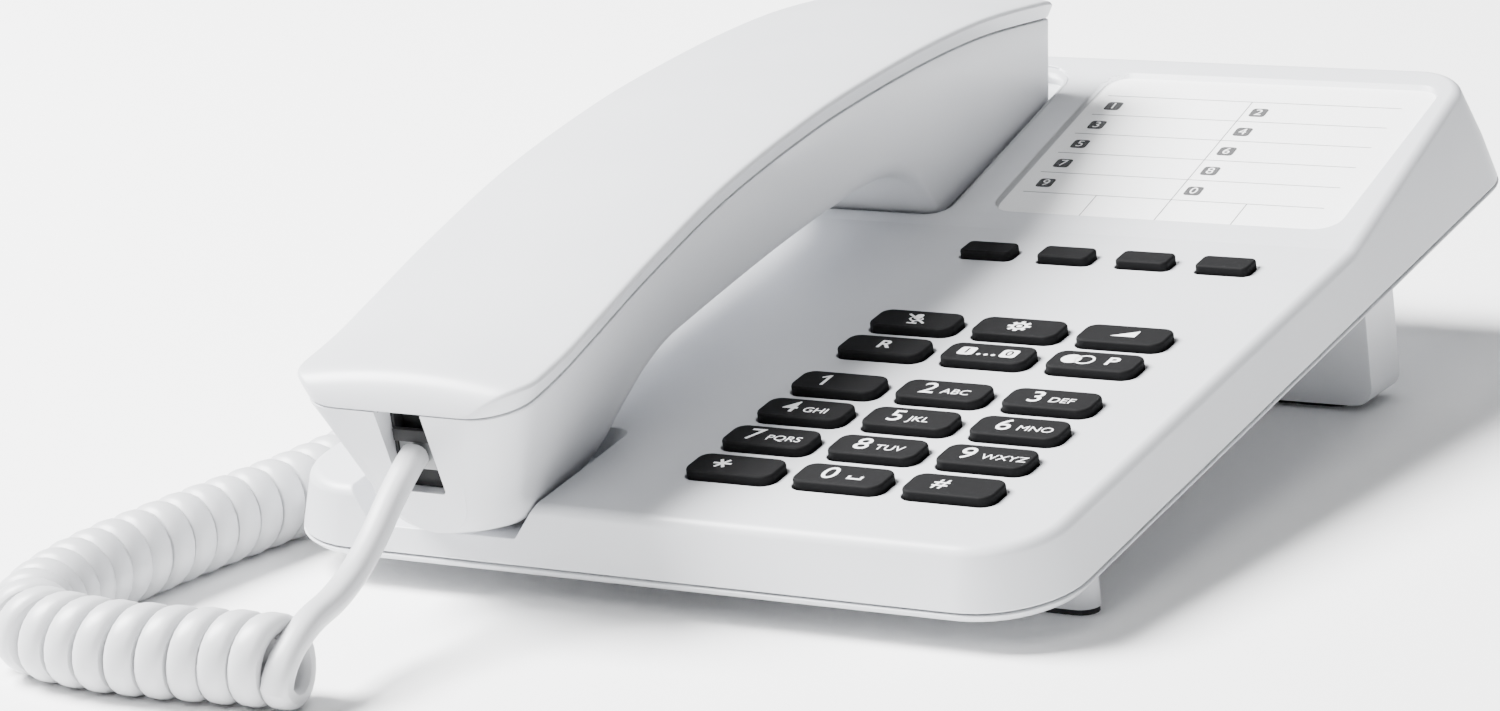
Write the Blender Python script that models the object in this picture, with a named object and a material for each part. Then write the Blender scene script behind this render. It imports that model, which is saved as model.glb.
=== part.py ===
"""Corded desk telephone: wedge base, keypad, cradle, handset and curly cord.

Millimetres in the constants, metres in the meshes. World axes: +X right, +Y to the rear, +Z up,
origin on the desk under the middle of the phone. Everything on the sloping base is modelled in
the deck frame: x right, y up the slope from the front top edge, z square to the keypad.
"""

import math

import bmesh
import bpy
from mathutils import Matrix, Vector

MM = 0.001

# deck frame in the world
TILT = math.radians(7.5)
DECK_X = 1.45
DECK_Y = -99.82
DECK_Z = 17.66

# base housing
HALF_WIDTH = 73.51
BASE_X = -1.45
DECK_LENGTH = 215.4
EDGE_DEPTH = 10.45
BASE_DEPTH = 12.35
SIDE_DRAFT = 0.28
UPPER_DRAFT = 0.36
CORNER_R = 14.0
WALL = 2.4
GAP = 0.3
KINK_Y = 138.5
LABEL_SLOPE = math.tan(math.radians(7.8))

# keys
KEY_X = 27.7
KEY_PITCH_X = 20.9
KEY_SIZE = (17.2, 8.0)
KEY_ROWS = {"dial_bottom": 20.05, "pitch": 12.64, "recall": 75.6, "function": 88.3}
KEY_CORNER = 2.3
KEY_HEIGHT = 1.6
KEY_TRAVEL = 1.2
DIRECT_KEY = {"size": (10.6, 5.5), "corner": 1.15, "x": 3.42, "pitch": 16.24, "y": 125.3}

# index card on the raised rear section, in x and distance up the slope from the kink
CARD_X = (-7.1, 65.4)
CARD_T = (7.0, 67.0)
CARD_CORNER = 5.0

# handset
HANDSET_X = -36.0
HANDSET_FRONT = -15.4
HANDSET_REAR = 195.4
PARTING_HALF = 22.1
SHELL_WALL = 2.0
PARTING_LINE = ((-15.4, 22.0), (1.3, 23.4), (32.4, 29.0), (61.0, 32.9), (93.6, 34.3),
                (143.6, 32.0), (195.4, 23.6))
UNDERSIDE = ((-15.4, -2.4), (-9.4, -3.4), (1.0, -5.4), (22.0, -5.4), (28.0, -3.6), (33.3, 1.4),
             (39.0, 6.2), (46.6, 9.8), (58.0, 11.4), (75.0, 12.8), (91.0, 13.6), (108.4, 13.9),
             (124.5, 13.6), (131.0, 12.2), (136.5, 9.0), (140.6, 4.6), (143.4, 1.2), (145.7, -1.4),
             (147.5, -1.4), (196.0, 5.25))
SIDE_LEAN = ((-15.4, 0.4), (30.0, 0.4), (70.0, 0.28), (120.0, 0.16), (145.0, 0.11), (194.0, 0.11))
EDGE_ROUND = ((-15.4, 7.5), (24.0, 7.5), (60.0, 4.0), (120.0, 4.0), (142.0, 1.8), (194.0, 1.8))
FRONT_SLANT = 0.25
FRONT_ROUND = 9.0
REAR_ROUND = 3.0
CAP_END_ROUND = 4.5

# cradle, in deck x and y
POCKET_TOP_X = (-60.3, -22.0)
POCKET_FLOOR_X = (-55.6, -25.9)
POCKET_REAR = 33.0
POCKET_DEPTH = 5.9
EAR_X = (-56.7, -15.3)
EAR_Y = (143.0, 204.8)
EAR_DEPTH = 3.0
EAR_RIM = 1.0
EAR_CORNER = 4.5
HOOK = {"x": -45.0, "y": 152.5, "width": 12.0, "length": 6.0, "travel": 2.6}

# feet and desk stand
FOOT = {"x": 65.85, "y": 23.6, "half": 3.8, "radius": 3.2}
STAND_X = 69.95
STAND_Y = (149.3, 163.4)
STAND_ARCH = 24.0
PAD = 1.0

# screws, deck x and y
SCREWS = ((-66.0, 46.0), (64.0, 46.0), (-65.0, 199.0), (63.0, 199.0))

# sockets: cord of the handset on the left side, wall line at the rear
JACK = {"y": 150.0, "z": -4.8}
LINE_JACK = {"x": 34.0, "z": -1.2}

# curly cord, world millimetres
CORD_D = 4.7
COIL_D = 15.7
COIL_ROUTE = ((-28.0, -160.0), (-41.4, -161.2), (-52.8, -162.4), (-63.9, -162.8), (-72.9, -161.7),
              (-80.1, -158.5), (-85.5, -152.5), (-89.0, -144.5), (-91.3, -134.0), (-91.9, -123.5),
              (-91.2, -112.8), (-89.5, -100.6), (-87.6, -89.1), (-86.2, -79.5), (-85.6, -67.0),
              (-85.5, -53.0), (-85.5, -39.0), (-85.6, -25.0), (-85.8, -11.0))
HANDSET_PLUG = (-36.0, -11.9, 12.8)
LEAD_ROUTE = ((-34.5, -116.6, 28.4), (-33.8, -121.2, 25.8), (-33.2, -126.2, 22.4),
              (-32.5, -131.4, 19.0), (-32.2, -136.8, 15.9), (-32.0, -142.4, 13.7),
              (-31.9, -148.0, 12.6), (-31.9, -151.8, 12.2))
TAIL_ROUTE = ((-85.9, -10.2, 13.0), (-86.6, -3.5, 13.6), (-88.2, 5.0, 14.8), (-90.4, 14.5, 16.8),
              (-93.2, 24.5, 19.8), (-95.6, 34.0, 23.6), (-96.2, 41.6, 27.4), (-93.4, 47.2, 30.6),
              (-87.6, 49.4, 32.2), (-77.8, 49.5, 32.5))


# helpers

def clear_scene():
    for item in list(bpy.data.objects):
        bpy.data.objects.remove(item, do_unlink=True)


def finish(name, colour, roughness, metallic=0.0):
    mat = bpy.data.materials.get(name) or bpy.data.materials.new(name)
    mat.use_nodes = True
    shader = mat.node_tree.nodes["Principled BSDF"]
    shader.inputs["Base Color"].default_value = (*colour, 1.0)
    shader.inputs["Roughness"].default_value = roughness
    shader.inputs["Metallic"].default_value = metallic
    return mat


def piece(name, bm, mat, parent=None, location=(0.0, 0.0, 0.0)):
    """Turn a bmesh in millimetres into a named object with outward faces."""
    bmesh.ops.remove_doubles(bm, verts=bm.verts, dist=0.001)
    bmesh.ops.recalc_face_normals(bm, faces=bm.faces)
    bmesh.ops.scale(bm, verts=bm.verts, vec=(MM, MM, MM))
    mesh = bpy.data.meshes.new(name)
    bm.to_mesh(mesh)
    bm.free()
    mesh.shade_smooth()
    mesh.set_sharp_from_angle(angle=math.radians(30))
    obj = bpy.data.objects.new(name, mesh)
    bpy.context.scene.collection.objects.link(obj)
    if mat:
        obj.data.materials.append(mat)
    obj.parent = parent
    obj.location = Vector(location) * MM
    return obj


def boolean(target, cutter, operation="DIFFERENCE"):
    cutter.hide_render = True
    cutter.display_type = "WIRE"
    mod = target.modifiers.new(cutter.name, "BOOLEAN")
    mod.object = cutter
    mod.operation = operation
    mod.solver = "EXACT"


def loft(rings, bm=None):
    """Skin closed rings of equal length and cap both ends."""
    bm = bm or bmesh.new()
    rows = [[bm.verts.new(point) for point in ring] for ring in rings]
    for lower, upper in zip(rows, rows[1:]):
        for i in range(len(lower)):
            j = (i + 1) % len(lower)
            bm.faces.new((lower[i], lower[j], upper[j], upper[i]))
    bm.faces.new(rows[0])
    bm.faces.new(rows[-1])
    return bm


def rounded_outline(x0, x1, y0, y1, radius, steps):
    """Counter-clockwise rounded rectangle."""
    centres = ((x1 - radius, y1 - radius, 0), (x0 + radius, y1 - radius, 90),
               (x0 + radius, y0 + radius, 180), (x1 - radius, y0 + radius, 270))
    points = []
    for cx, cy, start in centres:
        for i in range(steps + 1):
            angle = math.radians(start + 90.0 * i / steps)
            points.append((cx + radius * math.cos(angle), cy + radius * math.sin(angle)))
    return points


def prism(outline, z0, z1, bm=None):
    return loft([[(x, y, z) for x, y in outline] for z in (z0, z1)], bm)


def block(x0, x1, y0, y1, z0, z1, bm=None):
    return prism(((x0, y0), (x1, y0), (x1, y1), (x0, y1)), z0, z1, bm)


def disc(x, y, radius, z0, z1, sides=16, bm=None):
    ring = [(x + radius * math.cos(math.tau * i / sides),
             y + radius * math.sin(math.tau * i / sides)) for i in range(sides)]
    return prism(ring, z0, z1, bm)


def turned(profile, sides, bm=None, centre=(0.0, 0.0)):
    """Stack of circles of (radius, z), closed at both ends."""
    rings = []
    for radius, z in profile:
        rings.append([(centre[0] + radius * math.cos(math.tau * i / sides),
                       centre[1] + radius * math.sin(math.tau * i / sides), z) for i in range(sides)])
    return loft(rings, bm)


def along(table, at):
    """Smooth value of a table of (position, value) pairs, flat beyond its ends."""
    if at <= table[0][0]:
        return table[0][1]
    for i in range(len(table) - 1):
        (a, va), (b, vb) = table[i], table[i + 1]
        if at <= b:
            before = table[i - 1] if i > 0 else table[i]
            after = table[i + 2] if i + 2 < len(table) else table[i + 1]
            slope_a = (vb - before[1]) / (b - before[0])
            slope_b = (after[1] - va) / (after[0] - a)
            t = (at - a) / (b - a)
            width = b - a
            return ((2 * t ** 3 - 3 * t ** 2 + 1) * va + (t ** 3 - 2 * t ** 2 + t) * slope_a * width
                    + (3 * t ** 2 - 2 * t ** 3) * vb + (t ** 3 - t ** 2) * slope_b * width)
    return table[-1][1]


def smooth_route(points, spacing):
    """Evenly spaced points on a smooth curve through the route's own points."""
    points = [Vector(point) for point in points]
    dense = []
    for i in range(len(points) - 1):
        p0 = points[max(i - 1, 0)]
        p1, p2 = points[i], points[i + 1]
        p3 = points[min(i + 2, len(points) - 1)]
        for step in range(16):
            t = step / 16
            dense.append(0.5 * (2 * p1 + (p2 - p0) * t + (2 * p0 - 5 * p1 + 4 * p2 - p3) * t * t
                                + (3 * p1 - p0 - 3 * p2 + p3) * t ** 3))
    dense.append(points[-1])
    lengths = [0.0]
    for a, b in zip(dense, dense[1:]):
        lengths.append(lengths[-1] + (b - a).length)
    count = max(2, round(lengths[-1] / spacing))
    spaced = []
    k = 0
    for i in range(count + 1):
        want = lengths[-1] * i / count
        while k < len(dense) - 2 and lengths[k + 1] < want:
            k += 1
        span = lengths[k + 1] - lengths[k]
        spaced.append(dense[k].lerp(dense[k + 1], (want - lengths[k]) / span))
    return spaced


def tube(name, points, diameter, mat, resolution):
    curve = bpy.data.curves.new(name, "CURVE")
    curve.dimensions = "3D"
    spline = curve.splines.new("POLY")
    spline.points.add(len(points) - 1)
    for slot, point in zip(spline.points, points):
        slot.co = (*(Vector(point) * MM), 1.0)
    curve.bevel_depth = diameter * MM / 2
    curve.bevel_resolution = resolution
    curve.use_fill_caps = True
    curve.materials.append(mat)
    obj = bpy.data.objects.new(name, curve)
    bpy.context.scene.collection.objects.link(obj)
    return obj


def desk_level(y, height):
    """Deck z of a plane parallel to the desk and height above it."""
    return (height - DECK_Z - y * math.sin(TILT)) / math.cos(TILT)


# base outline

def deck_top(y):
    return max(0.0, (y - KINK_Y) * LABEL_SLOPE)


def base_ring(inset, height):
    """Plan outline of the base at deck height z, or up to a function of y."""
    half, length = HALF_WIDTH - inset, DECK_LENGTH - inset
    outline = rounded_outline(-half, half, inset, length, CORNER_R - min(inset, 6.0), 5)
    marked = []
    for i, (x, y) in enumerate(outline):
        x2, y2 = outline[(i + 1) % len(outline)]
        marked.append((x, y))
        if abs(x) == abs(x2) and min(y, y2) < KINK_Y < max(y, y2):
            marked.append((x, KINK_Y))
    ring = []
    inner_half, front, rear = half - CORNER_R, CORNER_R, length - CORNER_R
    for x, y in marked:
        axis = Vector((max(-inner_half, min(inner_half, x)), max(front, min(rear, y))))
        out = (Vector((x, y)) - axis).normalized()
        z = height if not callable(height) else 0.0
        for _ in range(4):
            draft = UPPER_DRAFT if z > 0 else SIDE_DRAFT
            px, py = x - out.x * draft * z, y - out.y * draft * z
            if callable(height):
                z = height(py)
        ring.append((px + BASE_X, py, z))
    return ring


def split_at_kink(bm):
    """Cut the top faces across at the kink so each is flat."""
    for face in [f for f in bm.faces if len(f.verts) > 8]:
        ends = [v for v in face.verts if abs(v.co.y - KINK_Y) < 0.01]
        if len(ends) == 2:
            bmesh.utils.face_split(face, ends[0], ends[1])


# base pieces

def key_layout():
    """Name, centre x, centre y of every key with a legend, rear rows first."""
    names = (("key_mute", "key_settings", "key_volume"), ("key_recall", "key_memory", "key_redial"),
             ("key_1", "key_2", "key_3"), ("key_4", "key_5", "key_6"), ("key_7", "key_8", "key_9"),
             ("key_star", "key_0", "key_hash"))
    rows = [KEY_ROWS["function"], KEY_ROWS["recall"]]
    rows += [KEY_ROWS["dial_bottom"] + KEY_ROWS["pitch"] * k for k in (3, 2, 1, 0)]
    layout = []
    for row_names, y in zip(names, rows):
        for column, name in enumerate(row_names):
            layout.append((name, KEY_X + (column - 1) * KEY_PITCH_X, y, KEY_SIZE, KEY_CORNER))
    for k in range(4):
        x = DIRECT_KEY["x"] + k * DIRECT_KEY["pitch"]
        layout.append((f"key_direct_{k + 1}", x, DIRECT_KEY["y"], DIRECT_KEY["size"],
                       DIRECT_KEY["corner"]))
    return layout


def centred_outline(size, radius, grow, steps=2):
    half_x, half_y = size[0] / 2 + grow, size[1] / 2 + grow
    return rounded_outline(-half_x, half_x, -half_y, half_y, max(radius + grow, 0.3), steps)


def keys(deck, mat):
    skirt = 1.0
    for name, x, y, size, corner in key_layout():
        profile = ((skirt, -WALL - 1.3), (skirt, -WALL - 0.4), (0.0, -WALL - 0.4),
                   (0.0, KEY_HEIGHT - 0.35), (-0.35, KEY_HEIGHT))
        rings = [[(px, py, z) for px, py in centred_outline(size, corner, grow)]
                 for grow, z in profile]
        piece(name, loft(rings), mat, deck, (x, y, 0.0))


def label_frame_point(x, t, height):
    """Deck point from x, distance up the label slope and height square to it."""
    angle = math.atan(LABEL_SLOPE)
    return (x, KINK_Y + t * math.cos(angle) - height * math.sin(angle),
            t * math.sin(angle) + height * math.cos(angle))


def label_plate(outline, low, high, bm=None):
    return loft([[label_frame_point(x, t, h) for x, t in outline] for h in (low, high)], bm)


def ear_outline(grow, steps=4):
    return rounded_outline(EAR_X[0] - grow, EAR_X[1] + grow, EAR_Y[0] - KINK_Y - grow,
                           EAR_Y[1] - KINK_Y + grow, EAR_CORNER + grow, steps)


def pocket_rings(grow, floor, top):
    """Mouthpiece pocket, open at the front edge, with sloping ends."""
    rings = []
    for z in (floor, top):
        part = (z + POCKET_DEPTH) / POCKET_DEPTH
        left = POCKET_FLOOR_X[0] + (POCKET_TOP_X[0] - POCKET_FLOOR_X[0]) * part - grow
        right = POCKET_FLOOR_X[1] + (POCKET_TOP_X[1] - POCKET_FLOOR_X[1]) * part + grow
        front = -8.0 if grow == 0 else 1.4 - SIDE_DRAFT * z
        rings.append([(x, y, z) for x, y in ((left, front), (right, front),
                                             (right, POCKET_REAR + grow), (left, POCKET_REAR + grow))])
    return rings


def side_jack_box(grow, x0, x1, bm=None):
    y, z = JACK["y"], JACK["z"]
    return block(x0, x1, y - 5.1 - grow, y + 5.1 + grow, z - 3.4 - grow, z + 3.4 + grow, bm)


def line_jack_box(grow, y0, y1, bm=None):
    x, z = LINE_JACK["x"], LINE_JACK["z"]
    return block(x - 6.6 - grow, x + 6.6 + grow, y0, y1, z - 4.8 - grow, z + 4.8 + grow, bm)


def upper_housing(deck, mat):
    outer = loft([base_ring(0.0, -EDGE_DEPTH), base_ring(0.0, 0.0), base_ring(0.0, deck_top)])
    bmesh.ops.remove_doubles(outer, verts=outer.verts, dist=0.001)
    split_at_kink(outer)
    shell = piece("upper_housing", outer, mat, deck)

    inner = loft([base_ring(WALL, -EDGE_DEPTH - 3.0), base_ring(WALL, -WALL),
                  base_ring(WALL, lambda y: deck_top(y) - WALL)])
    bmesh.ops.remove_doubles(inner, verts=inner.verts, dist=0.001)
    split_at_kink(inner)
    boolean(shell, piece("cavity_cut", inner, None, deck))

    added = loft(pocket_rings(2.0, -POCKET_DEPTH - 1.8, -0.8))
    boolean(shell, piece("pocket_block", added, None, deck), "UNION")
    recess = label_plate(ear_outline(1.9), -EAR_DEPTH - 2.0, -0.6)
    boolean(shell, piece("recess_block", recess, None, deck), "UNION")
    bosses = bmesh.new()
    for x, y in SCREWS:
        disc(x, y, 3.6, -8.2, deck_top(y) - 1.2, 12, bosses)
    boolean(shell, piece("boss_block", bosses, None, deck), "UNION")

    cut = loft(pocket_rings(0.0, -POCKET_DEPTH, 3.0))
    boolean(shell, piece("pocket_cut", cut, None, deck))
    cut = label_plate(ear_outline(0.0), -EAR_DEPTH, 4.0)
    boolean(shell, piece("recess_cut", cut, None, deck))
    step = label_plate(ear_outline(EAR_RIM), -0.7, 5.0)
    boolean(shell, piece("recess_step_cut", step, None, deck))

    holes = bmesh.new()
    for _, x, y, size, corner in key_layout():
        outline = [(x + px, y + py) for px, py in centred_outline(size, corner, GAP)]
        prism(outline, -WALL - 2.0, 2.0, holes)
    boolean(shell, piece("key_hole_cut", holes, None, deck))

    card = label_plate(rounded_outline(*CARD_X, *CARD_T, CARD_CORNER, 4), -1.55, 3.0)
    boolean(shell, piece("card_cut", card, None, deck))

    extra = bmesh.new()
    for x, y in SCREWS:
        disc(x, y, 1.6, -9.0, -3.6, 8, extra)
    block(HOOK["x"] - HOOK["width"] / 2 - GAP, HOOK["x"] + HOOK["width"] / 2 + GAP,
          HOOK["y"] - HOOK["length"] / 2 - GAP, HOOK["y"] + HOOK["length"] / 2 + GAP,
          -9.0, 1.5, extra)
    side_jack_box(GAP, -83.0, -61.4, extra)
    line_jack_box(GAP, 201.0, 222.0, extra)
    boolean(shell, piece("opening_cut", extra, None, deck))
    return shell


def lower_housing(deck, mat):
    steps = ((1.6, -BASE_DEPTH), (0.1, -EDGE_DEPTH - 0.5), (0.1, -EDGE_DEPTH - GAP),
             (WALL + GAP, -EDGE_DEPTH - GAP), (WALL + GAP, -8.4), (WALL + 1.8, -8.4),
             (WALL + 1.8, -EDGE_DEPTH - GAP))
    rings = [base_ring(inset, z) for inset, z in steps]
    pan = piece("lower_housing", loft(rings), mat, deck)

    added = bmesh.new()
    for x, y in SCREWS:
        disc(x, y, 4.6, -11.6, -8.6, 12, added)
    boolean(pan, piece("lower_boss_block", added, None, deck), "UNION")
    for side, label in ((1, "right"), (-1, "left")):
        outline = foot_outline(BASE_X + side * FOOT["x"], FOOT["y"], FOOT["half"], FOOT["radius"])
        rings = [[(x, y, desk_level(y, PAD + GAP)) for x, y in outline],
                 [(x, y, -11.6) for x, y in outline]]
        boolean(pan, piece(f"foot_post_{label}", loft(rings), None, deck), "UNION")

    holes = bmesh.new()
    for x, y in SCREWS:
        turned(((3.2, -14.0), (3.2, -10.2), (1.6, -10.2), (1.6, -7.0)), 12, holes, (x, y))
    for row in range(5):
        for column in range(4):
            x, y = 18.0 + 7.0 * column, 96.0 + 5.0 * row
            block(x - 2.4, x + 2.4, y - 1.0, y + 1.0, -14.0, -9.0, holes)
    for x in (BASE_X - 45.0, BASE_X + 45.0):
        block(x - 5.6, x + 5.6, 153.4, 157.0, -14.0, -9.0, holes)
    boolean(pan, piece("lower_hole_cut", holes, None, deck))
    return pan


def foot_outline(x, y, half, radius, steps=4):
    return rounded_outline(x - half - radius, x + half + radius, y - radius, y + radius, radius, steps)


def rubber_pads(mat):
    for side, label in ((1, "right"), (-1, "left")):
        y = DECK_Y + FOOT["y"] * math.cos(TILT) + 20.9 * math.sin(TILT)
        outline = foot_outline(side * FOOT["x"], y, FOOT["half"], FOOT["radius"] - 0.3)
        piece(f"foot_pad_{label}", prism(outline, 0.0, PAD), mat)
        low = desk_level(STAND_Y[0], 0.0)
        y = DECK_Y + sum(STAND_Y) / 2 * math.cos(TILT) - low * math.sin(TILT)
        outline = rounded_outline(side * 50.0 - 14.0, side * 50.0 + 14.0, y - 4.2, y + 4.2, 4.0, 3)
        piece(f"stand_pad_{label}", prism(outline, 0.0, PAD), mat)


def rear_stand(deck, mat):
    top = -BASE_DEPTH - GAP
    outline = rounded_outline(BASE_X - STAND_X, BASE_X + STAND_X, 0.0, 60.0, 4.0, 3)
    rings = []
    for y in STAND_Y:
        low = desk_level(y, PAD + GAP)
        rings.append([(x, y, min(low + h, top) if h < 30.0 else top) for x, h in outline])
    stand = piece("rear_stand", loft(rings), mat, deck)

    pegs = bmesh.new()
    for x in (BASE_X - 45.0, BASE_X + 45.0):
        block(x - 5.2, x + 5.2, 153.8, 156.6, top - 1.0, -EDGE_DEPTH - 0.6, pegs)
    boolean(stand, piece("stand_peg_block", pegs, None, deck), "UNION")

    cuts = bmesh.new()
    arch = []
    for i in range(9):
        angle = math.pi * i / 8
        arch.append((BASE_X + STAND_ARCH * math.cos(angle), 9.0 * math.sin(angle)))
    low = desk_level(STAND_Y[1], 0.0) - 2.0
    base = desk_level(STAND_Y[1], 0.0) + 5.0
    outline = [(BASE_X + STAND_ARCH, low)] + [(x, base + z) for x, z in arch]
    outline.append((BASE_X - STAND_ARCH, low))
    loft([[(x, y, z) for x, z in outline] for y in (STAND_Y[0] - 2.0, STAND_Y[1] + 2.0)], cuts)
    boolean(stand, piece("stand_cut", cuts, None, deck))
    return stand


def screws(deck, mat):
    for index, (x, y) in enumerate(SCREWS):
        profile = ((1.1, -11.95), (2.7, -11.95), (2.8, -10.55), (1.3, -10.5), (1.3, -4.2), (0.7, -3.9))
        piece(f"base_screw_{index + 1}", turned(profile, 12), mat, deck, (x, y, 0.0))


def electronics(deck, board_mat, rubber_mat, metal_mat, plastic_mat):
    board = block(-1.0, 60.0, 8.0, 134.0, -8.0, -6.6)
    piece("circuit_board", board, board_mat, deck)
    mat_outline = rounded_outline(3.5, 59.0, 10.0, 133.0, 3.0, 2)
    piece("key_mat", prism(mat_outline, -6.2, -5.3), rubber_mat, deck)
    buzzer = turned(((11.0, -10.2), (11.0, -8.6), (8.0, -8.5)), 20)
    piece("ringer", buzzer, metal_mat, deck, (-34.0, 92.0, 3.2))
    piece("line_jack", jack_body(6.3, 4.5, 5.2, 3.7, 12.5, 9.5), plastic_mat, deck,
          (LINE_JACK["x"], 214.6, LINE_JACK["z"]))
    jack = jack_body(4.8, 3.1, 4.0, 2.5, 13.0, 10.5)
    obj = piece("handset_jack", jack, plastic_mat, deck, (-75.8, JACK["y"], JACK["z"]))
    obj.rotation_euler = (0.0, 0.0, math.pi / 2)


def jack_body(half_x, half_z, hole_x, hole_z, depth, hole_depth):
    """Square socket opening towards +Y at y = 0."""
    def square(half_w, half_h, y):
        return [(half_w, y, half_h), (-half_w, y, half_h), (-half_w, y, -half_h), (half_w, y, -half_h)]
    return loft([square(half_x, half_z, -depth), square(half_x, half_z, 0.0),
                 square(hole_x, hole_z, 0.0), square(hole_x, hole_z, -hole_depth)])


def hook_switch(deck, mat, metal_mat, plastic_mat):
    half_x, half_y = HOOK["width"] / 2, HOOK["length"] / 2
    top = deck_top(HOOK["y"]) - EAR_DEPTH - 0.3
    crown = loft([[(x * sx, y * sy, z) for x, y in ((-1, -1), (1, -1), (1, 1), (-1, 1))]
                  for sx, sy, z in ((half_x, half_y, -5.6), (half_x, half_y, top - 0.6),
                                    (half_x - 0.6, half_y - 0.6, top))])
    piece("hook_plunger", crown, mat, deck, (HOOK["x"], HOOK["y"], 0.0))
    spring = turned(((1.9, -8.8), (1.9, -6.1)), 10)
    piece("hook_spring", spring, metal_mat, deck, (HOOK["x"] - 3.2, HOOK["y"], 0.0))
    switch = block(-3.0, 3.0, -2.6, 2.6, -10.2, -6.4)
    piece("hook_switch", switch, plastic_mat, deck, (HOOK["x"] + 2.6, HOOK["y"], 0.0))


def index_card(deck, paper, clear):
    window = rounded_outline(CARD_X[0] + GAP, CARD_X[1] - GAP, CARD_T[0] + GAP, CARD_T[1] - GAP,
                             CARD_CORNER - GAP, 4)
    piece("card_window", label_plate(window, -0.75, -0.25), clear, deck)
    card = rounded_outline(CARD_X[0] + 0.5, CARD_X[1] - 0.5, CARD_T[0] + 0.5, CARD_T[1] - 0.5,
                           CARD_CORNER - 0.5, 4)
    piece("index_card", label_plate(card, -1.25, -1.05), paper, deck)


# handset

def handset_section(kind, y, cut_in, wall):
    """One cross-section of the handset shells, as x, y, z points."""
    zp = along(PARTING_LINE, y)
    reach = wall + 0.2
    zb = max(along(UNDERSIDE, y - reach * 0.9), along(UNDERSIDE, y), along(UNDERSIDE, y + reach * 0.9)) \
        if wall else along(UNDERSIDE, y)
    zb += wall
    lean = along(SIDE_LEAN, y)
    radius = max(along(EDGE_ROUND, y) - wall * 0.5, 0.8)
    half = PARTING_HALF - cut_in - wall
    points = []
    if kind == "body":
        top = zp + (1.0 if wall else 0.0)
        low = zb + radius
        side_low = half - lean * (zp - low)
        points.append((half + (lean if wall else 0.0), top))
        for i in range(4):
            angle = math.radians(90.0 * i / 3)
            points.append((side_low - radius * (1 - math.cos(angle)), low - radius * math.sin(angle)))
    else:
        reach = min(y - HANDSET_FRONT, HANDSET_REAR - y, CAP_END_ROUND) / CAP_END_ROUND
        rise = max(math.sqrt(max(0.0, 1.0 - (1.0 - reach) ** 2)), 0.12)
        if wall:
            points = [(half - 0.3, zp - 0.8), (half + 0.9 * rise, zp + 0.2 + 2.4 * rise - 1.2 * (1 - rise)),
                      (half * 0.5, zp + 0.2 + 3.0 * rise - 1.2 * (1 - rise)),
                      (0.0, zp + 0.2 + 3.2 * rise - 1.2 * (1 - rise))]
        else:
            points = [(half, zp + 0.35), (half + 1.4 * rise, zp + 0.35 + 2.85 * rise),
                      (half + 1.0 * rise, zp + 0.35 + 3.75 * rise), (half - 0.4, zp + 0.35 + 4.15 * rise),
                      (half * 0.5, zp + 0.35 + 5.0 * rise), (0.0, zp + 0.35 + 5.3 * rise)]
    mirrored = [(-x, z) for x, z in reversed(points) if abs(x) > 0.001]
    fade = max(0.0, min(1.0, (12.0 - y) / (12.0 - HANDSET_FRONT)))
    slant = FRONT_SLANT if kind == "body" else 0.0
    return [(x, y + slant * (zp - z) * fade, z) for x, z in points + mirrored]


def handset_stations(wall, steps):
    """Section positions with how far each end's rounding draws the sides in."""
    front, rear = HANDSET_FRONT + wall, HANDSET_REAR - wall
    stations = []
    radius = FRONT_ROUND - wall
    for i in range(5):
        angle = math.pi / 2 * i / 4
        stations.append((front + radius * (1 - math.cos(angle)), radius * (1 - math.sin(angle))))
    start = stations[-1][0]
    for y in steps:
        if start + 1.5 < y < rear - REAR_ROUND - 1.0:
            stations.append((y, 0.0))
    radius = REAR_ROUND - wall * 0.5
    for i in range(4):
        angle = math.pi / 2 * (1 - i / 3)
        stations.append((rear - radius * (1 - math.cos(angle)), radius * (1 - math.sin(angle))))
    return stations


BODY_STEPS = (0, 10, 20, 25, 29, 33, 37, 42, 48, 58, 72, 90, 108, 120, 127, 131, 134, 137, 139.5,
              142, 144.5, 147, 160, 175, 184)
CAP_STEPS = (2, 14, 26, 40, 56, 74, 93, 112, 130, 148, 164, 178)


def handset_shell(name, kind, steps, mat, deck):
    outer = loft([handset_section(kind, y, inset, 0.0) for y, inset in handset_stations(0.0, steps)])
    bmesh.ops.translate(outer, verts=outer.verts, vec=(HANDSET_X, 0.0, 0.0))
    shell = piece(name, outer, mat, deck)
    inner = loft([handset_section(kind, y, inset, SHELL_WALL)
                  for y, inset in handset_stations(SHELL_WALL, steps)])
    bmesh.ops.translate(inner, verts=inner.verts, vec=(HANDSET_X, 0.0, 0.0))
    boolean(shell, piece(f"{name}_cavity_cut", inner, None, deck))
    return shell


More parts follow.
